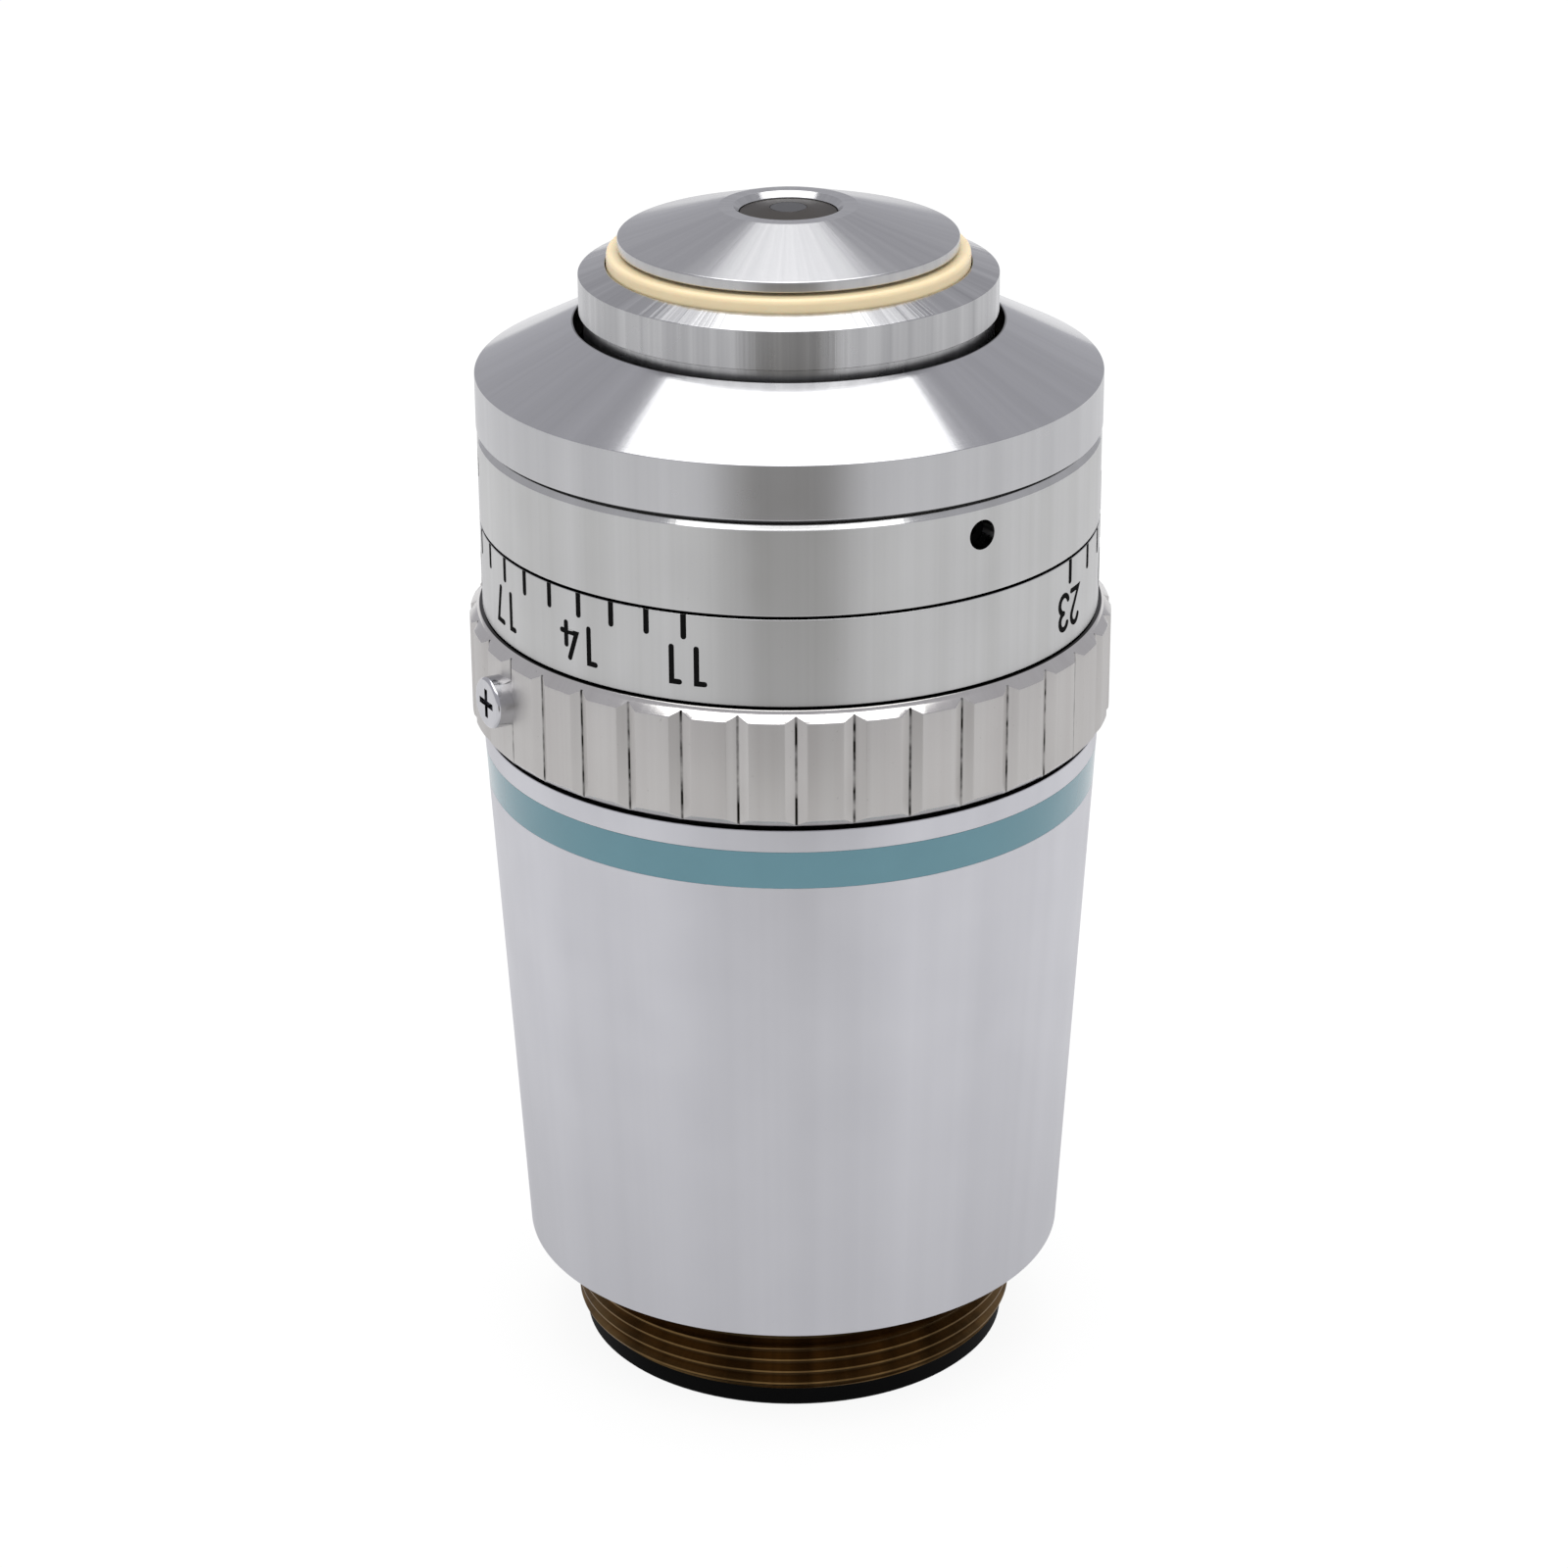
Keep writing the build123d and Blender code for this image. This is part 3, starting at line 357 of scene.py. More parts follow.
# The cone of the cover is polished round, so a lamp's edges stay crisp sideways and blur along the slope.
coverPlate = turnedMetal(
    "polished_chrome_cover",
    {
        "light": "#cbcbcc",
        "dark": "#c0c0c1",
        "roughness": 0.3,
        "chamferRoughness": 0.12,
        "drawnOut": 0.6,
        "ringPitch": 0.07,
        "ringDepth": 0.1,
        "streakScale": 9.0,
        "streakDepth": 0.012,
        "specks": 0.1,
        # painted shade in the bore of the hole, on its rounded edge, and on the flat faces inside the gaps
        "shadedRadii": (11.51, 11.58),
        "flatShade": 1.0,
    },
)
# The grip is blasted after turning, soft and a little warm, with a dark line in patches along the bottoms of
# its grooves, and painted shade on its flat faces inside the gaps.
gripPlate = turnedMetal(
    "turned_chrome_grip",
    {
        "light": "#d8d6d3",
        "dark": "#cecbc8",
        "roughness": 0.5,
        "chamferRoughness": 0.16,
        "drawnOut": 0.0,
        "ringPitch": 0.1,
        "ringDepth": 0.15,
        "streakScale": 12.0,
        "streakDepth": 0.03,
        "specks": 0.35,
        "flatShade": 1.0,
        "grooves": {"count": 36, "first": -89.15, "floorR": 17.2},
    },
)
nosePlate = turnedMetal(
    "turned_chrome_nose",
    {
        "light": "#c8c8c8",
        "dark": "#bbbbbc",
        "roughness": 0.3,
        "chamferRoughness": 0.17,
        "drawnOut": 0.6,
        "ringPitch": 0.07,
        "ringDepth": 0.2,
        "streakScale": 10.0,
        "streakDepth": 0.02,
        "specks": 0.15,
    },
)
# The sleeve was polished lengthways with a cloth, which left upright streaks.
sleevePlate = turnedMetal(
    "polished_chrome_sleeve",
    {
        "light": "#cbcbcb",
        "dark": "#aeaeaf",
        "roughness": 0.28,
        "chamferRoughness": 0.12,
        "drawnOut": 0.8,
        "ringPitch": 0.07,
        "ringDepth": 0.15,
        "streakScale": 11.0,
        "streakDepth": 0.16,
        "specks": 0.15,
    },
)
# Thread cut in brass and darkened by handling.
threadBrass = turnedMetal(
    "tarnished_brass_thread",
    {
        "light": "#866a42",
        "dark": "#5a462a",
        "roughness": 0.34,
        "drawnOut": 0.3,
        "ringPitch": 0.1,
        "ringDepth": 0.15,
        "streakScale": 6.0,
        "streakDepth": 0.05,
        "specks": 0.5,
        # painted shade towards the thread roots and on the relief and bore inside them
        "shadedRadii": (11.85, 12.2),
    },
)
bareBrass = turnedMetal(
    "turned_brass",
    {
        "light": "#d9b982",
        "dark": "#c8a56b",
        "roughness": 0.3,
        "drawnOut": 0.6,
        "ringPitch": 0.1,
        "ringDepth": 0.2,
        "streakScale": 6.0,
        "streakDepth": 0.04,
        "specks": 0.1,
    },
)
brightSteel = turnedMetal(
    "bright_steel",
    {
        "light": "#cfcfd2",
        "dark": "#bdbdc1",
        "roughness": 0.14,
        "drawnOut": 0.0,
        "ringPitch": 0.2,
        "ringDepth": 0.05,
        "streakScale": 6.0,
        "streakDepth": 0.02,
        "specks": 0.05,
    },
)
# Chemically blackened brass, matt so that it swallows stray light.
blackened = plainCoat(
    "blackened_brass",
    {
        "light": "#060606",
        "dark": "#030303",
        "mottleScale": 0.6,
        "grainScale": 8.0,
        "grainDepth": 0.2,
        "metallic": 0.0,
        "roughness": 0.6,
        "shine": 0.05,
        "coat": 0.0,
        "glow": 0.0,
    },
)
# The cell round the front lens is bronzed, brown-grey with a dull sheen.
bronzed = plainCoat(
    "bronzed_brass",
    {
        "light": "#3d3833",
        "dark": "#2e2a26",
        "mottleScale": 0.8,
        "grainScale": 8.0,
        "grainDepth": 0.2,
        "metallic": 0.6,
        "roughness": 0.45,
        "coat": 0.0,
        "glow": 0.0,
    },
)
# Cream moulded plastic, slightly waxy: a little light enters it.
creamPlastic = plainCoat(
    "cream_moulded_plastic",
    {
        "light": "#dfceaa",
        "dark": "#d5c29b",
        "mottleScale": 0.5,
        "grainScale": 6.0,
        "grainDepth": 0.15,
        "metallic": 0.0,
        "roughness": 0.35,
        "coat": 0.0,
        "glow": 0.15,
    },
)
# Stoved blue-green enamel in a groove, glossy.
blueEnamel = plainCoat(
    "blue_green_enamel",
    {
        "light": "#4d7782",
        "dark": "#46707b",
        "mottleScale": 0.4,
        "grainScale": 3.0,
        "grainDepth": 0.1,
        "metallic": 0.0,
        "roughness": 0.22,
        "coat": 0.5,
        "glow": 0.0,
    },
)
# Black filling wax in the engraved lines.
engravingWax = plainCoat(
    "black_engraving_wax",
    {
        "light": "#0d0d0d",
        "dark": "#050505",
        "mottleScale": 2.0,
        "grainScale": 10.0,
        "grainDepth": 0.2,
        "metallic": 0.0,
        "roughness": 0.9,
        "shine": 0.1,
        "coat": 0.0,
        "glow": 0.0,
    },
)
frontGlass = coatedGlass("front_lens_glass", "#1c1c1f", 1.52, 0.0)
innerGlass = coatedGlass("inner_lens_glass", "#e4ecea", 1.6, 0.4)
print("materials:", len(bpy.data.materials))


# Round each corner of a closed (r, z) outline. A corner is (r, z) or (r, z, radius).
def softened(corners, steps=3):
    outline = []
    count = len(corners)
    for i, corner in enumerate(corners):
        here = Vector(corner[:2])
        before = Vector(corners[i - 1][:2]) - here
        after = Vector(corners[(i + 1) % count][:2]) - here
        radius = corner[2] if len(corner) > 2 else 0.0
        turn = math.pi - before.angle(after)
        if radius == 0.0 or turn < 0.05:
            outline.append(here)
            continue
        reach = min(radius * math.tan(turn / 2), before.length * 0.45, after.length * 0.45)
        first = here + before.normalized() * reach
        last = here + after.normalized() * reach
        guard = reach * 0.1
        outline.append(first + before.normalized() * guard)
        for step in range(steps + 1):
            share = step / steps
            outline.append(
                first * (1 - share) ** 2 + here * 2 * share * (1 - share) + last * share**2
            )
        outline.append(last + after.normalized() * guard)
    return outline


def finished(name, shape, material, body, nodes=()):
    mesh = bpy.data.meshes.new(name)
    shape.to_mesh(mesh)
    shape.free()
    return dressed(name, mesh, material, body, nodes)


def dressed(name, mesh, material, body, nodes=()):
    mesh.name = name
    mesh.materials.clear()
    mesh.materials.append(material)
    mesh.shade_smooth()
    mesh.set_sharp_from_angle(angle=math.radians(38))
    piece = bpy.data.objects.new(name, mesh)
    bpy.context.scene.collection.objects.link(piece)
    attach(piece, body)
    if nodes:
        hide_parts(*nodes)
    return piece


# Turn a closed outline about the optical axis.
def spun(corners, steps=256):
    shape = bmesh.new()
    rings = []
    for r, z in softened(corners):
        ring = []
        for step in range(steps):
            angle = 2 * math.pi * step / steps
            ring.append(shape.verts.new((r * mm * math.cos(angle), r * mm * math.sin(angle), z * mm)))
        rings.append(ring)
    for i, ring in enumerate(rings):
        following = rings[(i + 1) % len(rings)]
        for step in range(steps):
            ahead = (step + 1) % steps
            shape.faces.new((ring[step], ring[ahead], following[ahead], following[step]))
    bmesh.ops.recalc_face_normals(shape, faces=shape.faces)
    return shape


# Cut a shape with cutters, and return plain geometry.
def cut(name, shape, cutters):
    def asObject(label, part):
        mesh = bpy.data.meshes.new(label)
        part.to_mesh(mesh)
        part.free()
        item = bpy.data.objects.new(label, mesh)
        bpy.context.scene.collection.objects.link(item)
        return item

    blank = asObject(name + "Blank", shape)
    tool = asObject(name + "Tool", cutters)
    carve = blank.modifiers.new("carve", "BOOLEAN")
    carve.operation = "DIFFERENCE"
    carve.solver = "EXACT"
    carve.object = tool
    seen = bpy.context.evaluated_depsgraph_get()
    mesh = bpy.data.meshes.new_from_object(blank.evaluated_get(seen))
    bpy.data.objects.remove(blank)
    bpy.data.objects.remove(tool)
    result = bmesh.new()
    result.from_mesh(mesh)
    bpy.data.meshes.remove(mesh)
    return result


# A frame whose local Z points outwards at an azimuth, at a height and a radius.
def radialFrame(azimuth, z, r):
    turn = math.radians(azimuth)
    across = Vector((-math.sin(turn), math.cos(turn), 0))
    outward = Vector((math.cos(turn), math.sin(turn), 0))
    matrix = Matrix((across, Vector((0, 0, 1)), outward)).transposed().to_4x4()
    matrix.translation = (outward * r + Vector((0, 0, z))) * mm
    return matrix


def addRod(shape, matrix, radius, low, high, sides=64):
    made = bmesh.ops.create_cone(
        shape,
        cap_ends=True,
        segments=sides,
        radius1=radius * mm,
        radius2=radius * mm,
        depth=(high - low) * mm,
    )
    place = matrix @ Matrix.Translation((0, 0, (low + high) / 2 * mm))
    bmesh.ops.transform(shape, matrix=place, verts=made["verts"])


# barrel
barrel = {
    "baseR": 15.19,
    "topR": 16.97,
    "height": 31.1,
    "bandLow": 27.73,
    "bandHigh": 29.84,
    "bandDepth": 0.2,
}


def barrelR(z):
    return barrel["baseR"] + (barrel["topR"] - barrel["baseR"]) * z / barrel["height"]


finished(
    "outerBarrel",
    spun(
        [
            (13.92, 0),
            (barrel["baseR"], 0, 0.05),
            (barrelR(barrel["bandLow"]), barrel["bandLow"], 0.02),
            (barrelR(barrel["bandLow"]) - barrel["bandDepth"], barrel["bandLow"]),
            (barrelR(barrel["bandHigh"]) - barrel["bandDepth"], barrel["bandHigh"]),
            (barrelR(barrel["bandHigh"]), barrel["bandHigh"], 0.02),
            (barrel["topR"], barrel["height"], 0.07),
            (14.2, barrel["height"], 0.1),
            (14.2, 9.02),
            (13.02, 9.02),
            (13.02, 6.54),
            (13.92, 6.54),
        ]
    ),
    barrelPlate,
    "barrel",
    ["outer_barrel"],
)

# mount ring with a real 60 degree thread
thread = {"r": 12.5, "pitch": 0.75, "depth": 0.46, "low": -5.19, "high": -1.9, "chamfer": 0.42, "runOut": 0.5}


def threadedRing(size, steps=256, rows=14):
    shape = bmesh.new()
    turns = math.ceil((size["high"] - size["low"]) / size["pitch"]) + 1
    flat = 0.14  # share of the pitch that is flat at the crest
    rings = []
    for row in range(turns * rows + 1):
        ring = []
        for step in range(steps):
            angle = 2 * math.pi * step / steps
            z = size["low"] + size["pitch"] * (row / rows - 1 + step / steps)
            share = (row % rows) / rows
            fall = max(0.0, 1 - abs(share - 0.5) * 2 - flat) / (1 - flat)
            r = size["r"] - size["depth"] * min(1.0, fall * 1.12)
            z = min(max(z, size["low"]), size["high"])
            r = min(r, size["r"] - size["chamfer"] + (z - size["low"]))
            fade = min(1.0, (size["high"] - z) / size["runOut"])
            r = 11.92 + (r - 11.92) * fade
            ring.append(shape.verts.new((r * mm * math.cos(angle), r * mm * math.sin(angle), z * mm)))
        rings.append(ring)
    for low, high in zip(rings, rings[1:]):
        for step in range(steps):
            ahead = (step + 1) % steps
            # the last column closes on the first one a whole turn of the thread higher
            if ahead:
                shape.faces.new((low[step], low[ahead], high[ahead], high[step]))
    for row in range(len(rings) - 1 - rows):
        low, high = rings[row], rings[row + 1]
        lowNext, highNext = rings[row + rows], rings[row + rows + 1]
        shape.faces.new((low[-1], lowNext[0], highNext[0], high[-1]))
    bmesh.ops.remove_doubles(shape, verts=shape.verts, dist=0.0004 * mm)
    return shape


def mountRing():
    shape = threadedRing(thread)
    # the rest of the ring: relief under the shoulder, spigot and bore
    walls = [
        [(11.92, -1.9), (11.9, -1.85), (11.9, -0.02), (11.92, 0), (13.9, 0), (13.9, 4.5), (10.9, 4.5)],
        # the end of the thread hangs round the upper edge of the rear ring's flange
        [
            (10.9, 4.5),
            (10.9, -4.75),
            (11.05, -4.95),
            (12.0, -4.95),
            (12.0, thread["low"]),
            (12.08, thread["low"]),
        ],
    ]
    steps = 256
    for wall in walls:
        previous = None
        for r, z in wall:
            ring = []
            for step in range(steps):
                angle = 2 * math.pi * step / steps
                ring.append(shape.verts.new((r * mm * math.cos(angle), r * mm * math.sin(angle), z * mm)))
            if previous:
                for step in range(steps):
                    ahead = (step + 1) % steps
                    shape.faces.new((previous[step], previous[ahead], ring[ahead], ring[step]))
            previous = ring
    bmesh.ops.remove_doubles(shape, verts=shape.verts, dist=0.0004 * mm)
    bmesh.ops.recalc_face_normals(shape, faces=shape.faces)
    return shape


finished("mountRing", mountRing(), threadBrass, "barrel", ["mount_ring"])

# index sleeve and front cover
indexSleeve = {"r": 16.8, "low": 42.86, "high": 47.8, "chamferHeight": 0.32, "chamferWidth": 0.25}
setScrews = {"z": 46.1, "first": -54.2, "count": 3, "holeR": 0.8}

holes = bmesh.new()
for number in range(setScrews["count"]):
    azimuth = setScrews["first"] + 360 / setScrews["count"] * number
    addRod(holes, radialFrame(azimuth, setScrews["z"], 0), setScrews["holeR"], 13.3, 18)
finished(
    "indexSleeve",
    cut(
        "indexSleeve",
        spun(
            [
                (14.8, indexSleeve["low"]),
                (indexSleeve["r"], indexSleeve["low"], 0.06),
                (indexSleeve["r"], indexSleeve["high"] - indexSleeve["chamferHeight"], 0.05),
                (indexSleeve["r"] - indexSleeve["chamferWidth"], indexSleeve["high"], 0.05),
                (16.3, indexSleeve["high"]),
                (16.3, 48.0),
                (15.6, 48.0),
                (15.6, 49.6),
                (13.02, 49.6),
                (13.02, 43.38),
                (14.8, 43.38),
            ]
        ),
        holes,
    ),
    ringPlate,
    "barrel",
    ["index_sleeve"],
)
cover = {"r": 16.84, "holeR": 11.5, "low": 48.02, "edge": 50.95, "top": 53.64}
finished(
    "frontCover",
    spun(
        [
            (15.62, cover["low"]),
            (cover["r"], cover["low"], 0.06),
            (cover["r"], cover["edge"], 0.06),
            (cover["holeR"], cover["top"], 0.07),
            (cover["holeR"], 51.92, 0.05),
            (12.25, 51.92),
            (15.62, 50.25),
        ]
    ),
    coverPlate,
    "barrel",
    ["front_cover"],
)

# collar
scaleBand = {"r": 16.8, "low": 37.93, "high": 42.71}
finished(
    "scaleRing",
    spun(
        [
            (13.05, 31.2),
            (15.0, 31.2),
            (15.0, scaleBand["low"]),
            (scaleBand["r"], scaleBand["low"], 0.04),
            (scaleBand["r"], scaleBand["high"], 0.05),
            (13.05, scaleBand["high"], 0.05),
        ]
    ),
    ringPlate,
    "collar",
    ["scale_ring"],
)

grip = {
    "r": 17.53,
    "boreR": 15.02,
    "low": 31.42,
    "high": 37.84,
    "lowR": 17.1,
    "lowChamfer": 0.48,
    "highR": 17.0,
    "lipR": 17.1,
    "lipHeight": 0.19,
    "highChamfer": 0.4,
    "pads": 36,
    "grooveDepth": 0.33,
    "grooveHalf": 0.58,
    "firstGroove": -89.15,
    "edge": 0.035,
}


# One groove and the two half pads beside it, as one sector of the ring.
def gripSector(size):
    shape = bmesh.new()
    half = 180 / size["pads"]
    lip = math.degrees(size["grooveHalf"] / size["r"])
    columns = [-half, -half * 0.8, -half * 0.6, -lip, -lip / 2, 0, lip / 2, lip, half * 0.6, half * 0.8, half]
    topSlope = (size["r"] - size["lipR"]) / size["highChamfer"]
    lowSlope = (size["r"] - size["lowR"]) / size["lowChamfer"]
    topStart = size["high"] - size["lipHeight"] - size["highChamfer"]
    lowEnd = size["low"] + size["lowChamfer"]
    previous = None
    for offset in columns:
        aside = min(1.0, abs(offset) / lip)
        wallR = size["r"] - size["grooveDepth"] * (1 - aside)
        fall = size["r"] - wallR
        points = [
            (size["boreR"], size["low"]),
            (size["lowR"], size["low"]),
            (wallR, lowEnd - fall / lowSlope),
            (wallR, topStart + fall / topSlope),
            (size["lipR"], size["high"] - size["lipHeight"]),
            (size["highR"], size["high"]),
            (size["boreR"], size["high"]),
        ]
        angle = math.radians(offset)
        column = [
            shape.verts.new((r * mm * math.cos(angle), r * mm * math.sin(angle), z * mm)) for r, z in points
        ]
        if previous:
            for i in range(len(column)):
                below = (i + 1) % len(column)
                shape.faces.new((previous[i], column[i], column[below], previous[below]))
        previous = column
    return shape


# Repeats the object's own geometry round the axis.
def repeatTree(name, material):
    tree = bpy.data.node_groups.new(name, "GeometryNodeTree")
    face = tree.interface
    face.new_socket("Geometry", in_out="INPUT", socket_type="NodeSocketGeometry")
    for label, kind in (
        ("Count", "NodeSocketInt"),
        ("First Angle", "NodeSocketFloat"),
        ("Step", "NodeSocketFloat"),
        ("Step Growth", "NodeSocketFloat"),
        ("Per Row", "NodeSocketInt"),
        ("Row Angle", "NodeSocketFloat"),
    ):
        face.new_socket(label, in_out="INPUT", socket_type=kind)
    face.new_socket("Geometry", in_out="OUTPUT", socket_type="NodeSocketGeometry")
    given = addNode(tree, "NodeGroupInput").outputs
    number = addNode(tree, "GeometryNodeInputIndex").outputs[0]

    def calc(operation, a, b):
        return addNode(tree, "ShaderNodeMath", {0: a, 1: b}, operation=operation).outputs[0]

    row = calc("FLOOR", calc("DIVIDE", number, given["Per Row"]), 0.0)
    place = calc("SUBTRACT", number, calc("MULTIPLY", row, given["Per Row"]))
    growth = calc("MULTIPLY", calc("MULTIPLY", place, place), given["Step Growth"])
    angle = calc("ADD", given["First Angle"], calc("MULTIPLY", place, given["Step"]))
    angle = calc("ADD", calc("ADD", angle, growth), calc("MULTIPLY", row, given["Row Angle"]))
    turn = addNode(tree, "ShaderNodeCombineXYZ", {"Z": calc("RADIANS", angle, 0.0)}).outputs[0]
    points = addNode(tree, "GeometryNodePoints", {"Count": given["Count"]}).outputs[0]
    copies = addNode(
        tree,
        "GeometryNodeInstanceOnPoints",
        {"Points": points, "Instance": given["Geometry"], "Rotation": turn},
    ).outputs[0]
    real = addNode(tree, "GeometryNodeRealizeInstances", {0: copies}).outputs[0]
    joined = addNode(
        tree,
        "GeometryNodeMergeByDistance",
        {"Geometry": real, "Distance": 0.001 * mm},
    ).outputs[0]
    painted = addNode(tree, "GeometryNodeSetMaterial", {"Geometry": joined, "Material": material}).outputs[0]
    addNode(tree, "NodeGroupOutput", {0: painted})
    return tree


# Run a repeat tree on a shape and return the result as plain geometry.
def repeated(name, shape, material, values, bevel=0.0):
    mesh = bpy.data.meshes.new(name)
    shape.to_mesh(mesh)
    shape.free()
    item = bpy.data.objects.new(name, mesh)
    bpy.context.scene.collection.objects.link(item)
    tree = repeatTree(name, material)
    steps = item.modifiers.new("repeat", "NODES")
    steps.node_group = tree
    for socket in tree.interface.items_tree:
        if socket.in_out == "INPUT" and socket.name in values:
            steps[socket.identifier] = values[socket.name]
    if bevel:
        edges = item.modifiers.new("edges", "BEVEL")
        edges.width = bevel * mm
        edges.segments = 2
        edges.limit_method = "ANGLE"
        edges.angle_limit = math.radians(15)
    seen = bpy.context.evaluated_depsgraph_get()
    result = bmesh.new()
    plain = bpy.data.meshes.new_from_object(item.evaluated_get(seen))
    result.from_mesh(plain)
    item.modifiers.clear()
    bpy.data.objects.remove(item)
    bpy.data.meshes.remove(plain)
    return result


gripShape = repeated(
    "gripPads",
    gripSector(grip),
    gripPlate,
    {
        "Count": grip["pads"],
        "First Angle": grip["firstGroove"],
        "Step": 360 / grip["pads"],
        "Step Growth": 0.0,
        "Per Row": grip["pads"],
        "Row Angle": 0.0,
    },
    bevel=grip["edge"],
)
bmesh.ops.recalc_face_normals(gripShape, faces=gripShape.faces)

driveScrew = {
    "azimuth": -151.15,
    "z": 35.05,
    "pocketR": 1.5,
    "pocketFloor": 17.17,
    "shankR": 0.8,
}
screwFrame = radialFrame(driveScrew["azimuth"], driveScrew["z"], 0)
pocket = bmesh.new()
addRod(pocket, screwFrame, driveScrew["pocketR"], driveScrew["pocketFloor"], 19)
addRod(pocket, screwFrame, driveScrew["shankR"] + 0.01, 14, 17.5)
finished("gripRing", cut("gripRing", gripShape, pocket), gripPlate, "collar", ["grip_ring"])

# engraved scale. Two scales of thirteen marks, 11 to 23, spaced wider as the numbers rise.
scale = {
    "r": 16.8,
    "proud": 0.012,
    "markTop": 42.7,
    "markLength": 1.36,
    "stroke": 0.29,
    "markStroke": 0.31,
    "firstMark": -109.0,
    "step": -7.0273,
    "stepGrowth": -0.0727,
    "secondScale": 175.1,
    "numberFoot": 40.87,
    "digitPitch": 1.36,
    "lowest": 11,
    "marks": 13,
    "numbered": (11, 14, 17, 20, 23),
}


# Lay a flat outline in (along, up) millimetres on the band as a thin patch.
def layOnBand(shape, outline, azimuth, r, proud):
    faces = []
    for level in (r - 0.05, r + proud):
        ring = []
        for along, up in outline:
            angle = math.radians(azimuth) + along / r
            place = Vector((level * math.cos(angle), level * math.sin(angle), up)) * mm
            ring.append(shape.verts.new(place))
        faces.append(ring)
    inner, outer = faces
    shape.faces.new(outer)
    shape.faces.new(list(reversed(inner)))
    for i in range(len(outline)):
        following = (i + 1) % len(outline)
        shape.faces.new((inner[i], inner[following], outer[following], outer[i]))


# The outline of a round-ended stroke of the engraving cutter along a line of points.
def strokeOutline(points, width):
    line = [Vector(p) for p in points]
    half = width / 2

    def side(sequence):
        edge = []
        for i, here in enumerate(sequence):
            before = (here - sequence[i - 1]).normalized() if i else (sequence[1] - here).normalized()
            last = i + 1 == len(sequence)
            after = before if last else (sequence[i + 1] - here).normalized()
            middle = (before + after).normalized()
            across = Vector((-middle.y, middle.x))
            reach = half / max(0.5, across.dot(Vector((-before.y, before.x))))
            edge.append(here + across * reach)
        return edge

    def roundEnd(centre, start):
        arm = start - centre
        turned = []
        for step in range(1, 8):
            angle = -math.pi * step / 8
            turned.append(
                centre
                + Vector(
                    (
                        arm.x * math.cos(angle) - arm.y * math.sin(angle),
                        arm.x * math.sin(angle) + arm.y * math.cos(angle),
                    )
                )
            )
        return turned

    left = side(line)
    right = side(line[::-1])
    return left + roundEnd(line[-1], left[-1]) + right + roundEnd(line[0], right[-1])


def arc(cx, cy, rx, ry, start, end, steps=14):
    points = []
    for step in range(steps + 1):
        angle = math.radians(start + (end - start) * step / steps)
        points.append((cx + rx * math.cos(angle), cy + ry * math.sin(angle)))
    return points


# Centre lines of the numerals, 1.9 mm tall, as a pantograph engraver draws them.
glyphs = {
    "0": [arc(0, 0.95, 0.45, 0.95, 90, 440, 30)],
    "1": [[(-0.42, 1.9), (0, 1.9), (0, 0)]],
    "2": [arc(0, 1.44, 0.43, 0.46, 165, -35, 14) + [(-0.45, 0.0), (0.47, 0.0)]],
    "3": [arc(-0.02, 1.45, 0.42, 0.45, 160, -80, 14), arc(-0.04, 0.5, 0.48, 0.5, 85, -160, 16)],
    "4": [[(0.0, 1.9), (-0.5, 0.48), (0.56, 0.48)], [(0.25, 1.22), (0.25, 0.0)]],
    "7": [[(-0.38, 1.9), (0.38, 1.9), (-0.05, 0.0)]],
}


def scaleAzimuth(number, row):
    place = number - scale["lowest"]
    return (
        scale["firstMark"]
        + place * scale["step"]
        + place * place * scale["stepGrowth"]
        + row * scale["secondScale"]
    )


markShape = bmesh.new()
markLow = scale["markTop"] - scale["markLength"] + scale["markStroke"] / 2
markEnd = arc(0, markLow, scale["markStroke"] / 2, scale["markStroke"] / 2, 180, 360, 8)
layOnBand(
    markShape,
    [(scale["markStroke"] / 2, scale["markTop"]), (-scale["markStroke"] / 2, scale["markTop"])] + markEnd,
    0,
    scale["r"],
    scale["proud"],
)
marks = repeated(
    "scaleMarks",
    markShape,
    engravingWax,
    {
        "Count": 2 * scale["marks"],
        "First Angle": scale["firstMark"],
        "Step": scale["step"],
        "Step Growth": scale["stepGrowth"],
        "Per Row": scale["marks"],
        "Row Angle": scale["secondScale"],
    },
)
bmesh.ops.recalc_face_normals(marks, faces=marks.faces)
finished("scaleMarks", marks, engravingWax, "collar")

numerals = bmesh.new()
for row in (0, 1):
    for number in scale["numbered"]:
        for place, digit in enumerate(str(number)):
            middle = (place - 0.5) * scale["digitPitch"]
            for stroke in glyphs[digit]:
                # the numerals read with the nose pointing down
                outline = [
                    (-(middle + point.x), scale["numberFoot"] - point.y)
                    for point in strokeOutline(stroke, scale["stroke"])
                ]
                layOnBand(numerals, outline, scaleAzimuth(number, row), scale["r"], scale["proud"])
bmesh.ops.recalc_face_normals(numerals, faces=numerals.faces)
finished("scaleNumerals", numerals, engravingWax, "collar")

# The fixed index lines on the sleeve above, one for each scale, at the 20 at rest.
indexLines = bmesh.new()
for row in (0, 1):
    layOnBand(
        indexLines,
        strokeOutline([(0, 43.1), (0, 45.0)], scale["markStroke"]),
        scaleAzimuth(20, row),
        indexSleeve["r"],
        scale["proud"],
    )
bmesh.ops.recalc_face_normals(indexLines, faces=indexLines.faces)
finished("indexLines", indexLines, engravingWax, "barrel")
print("scale: 26 marks")

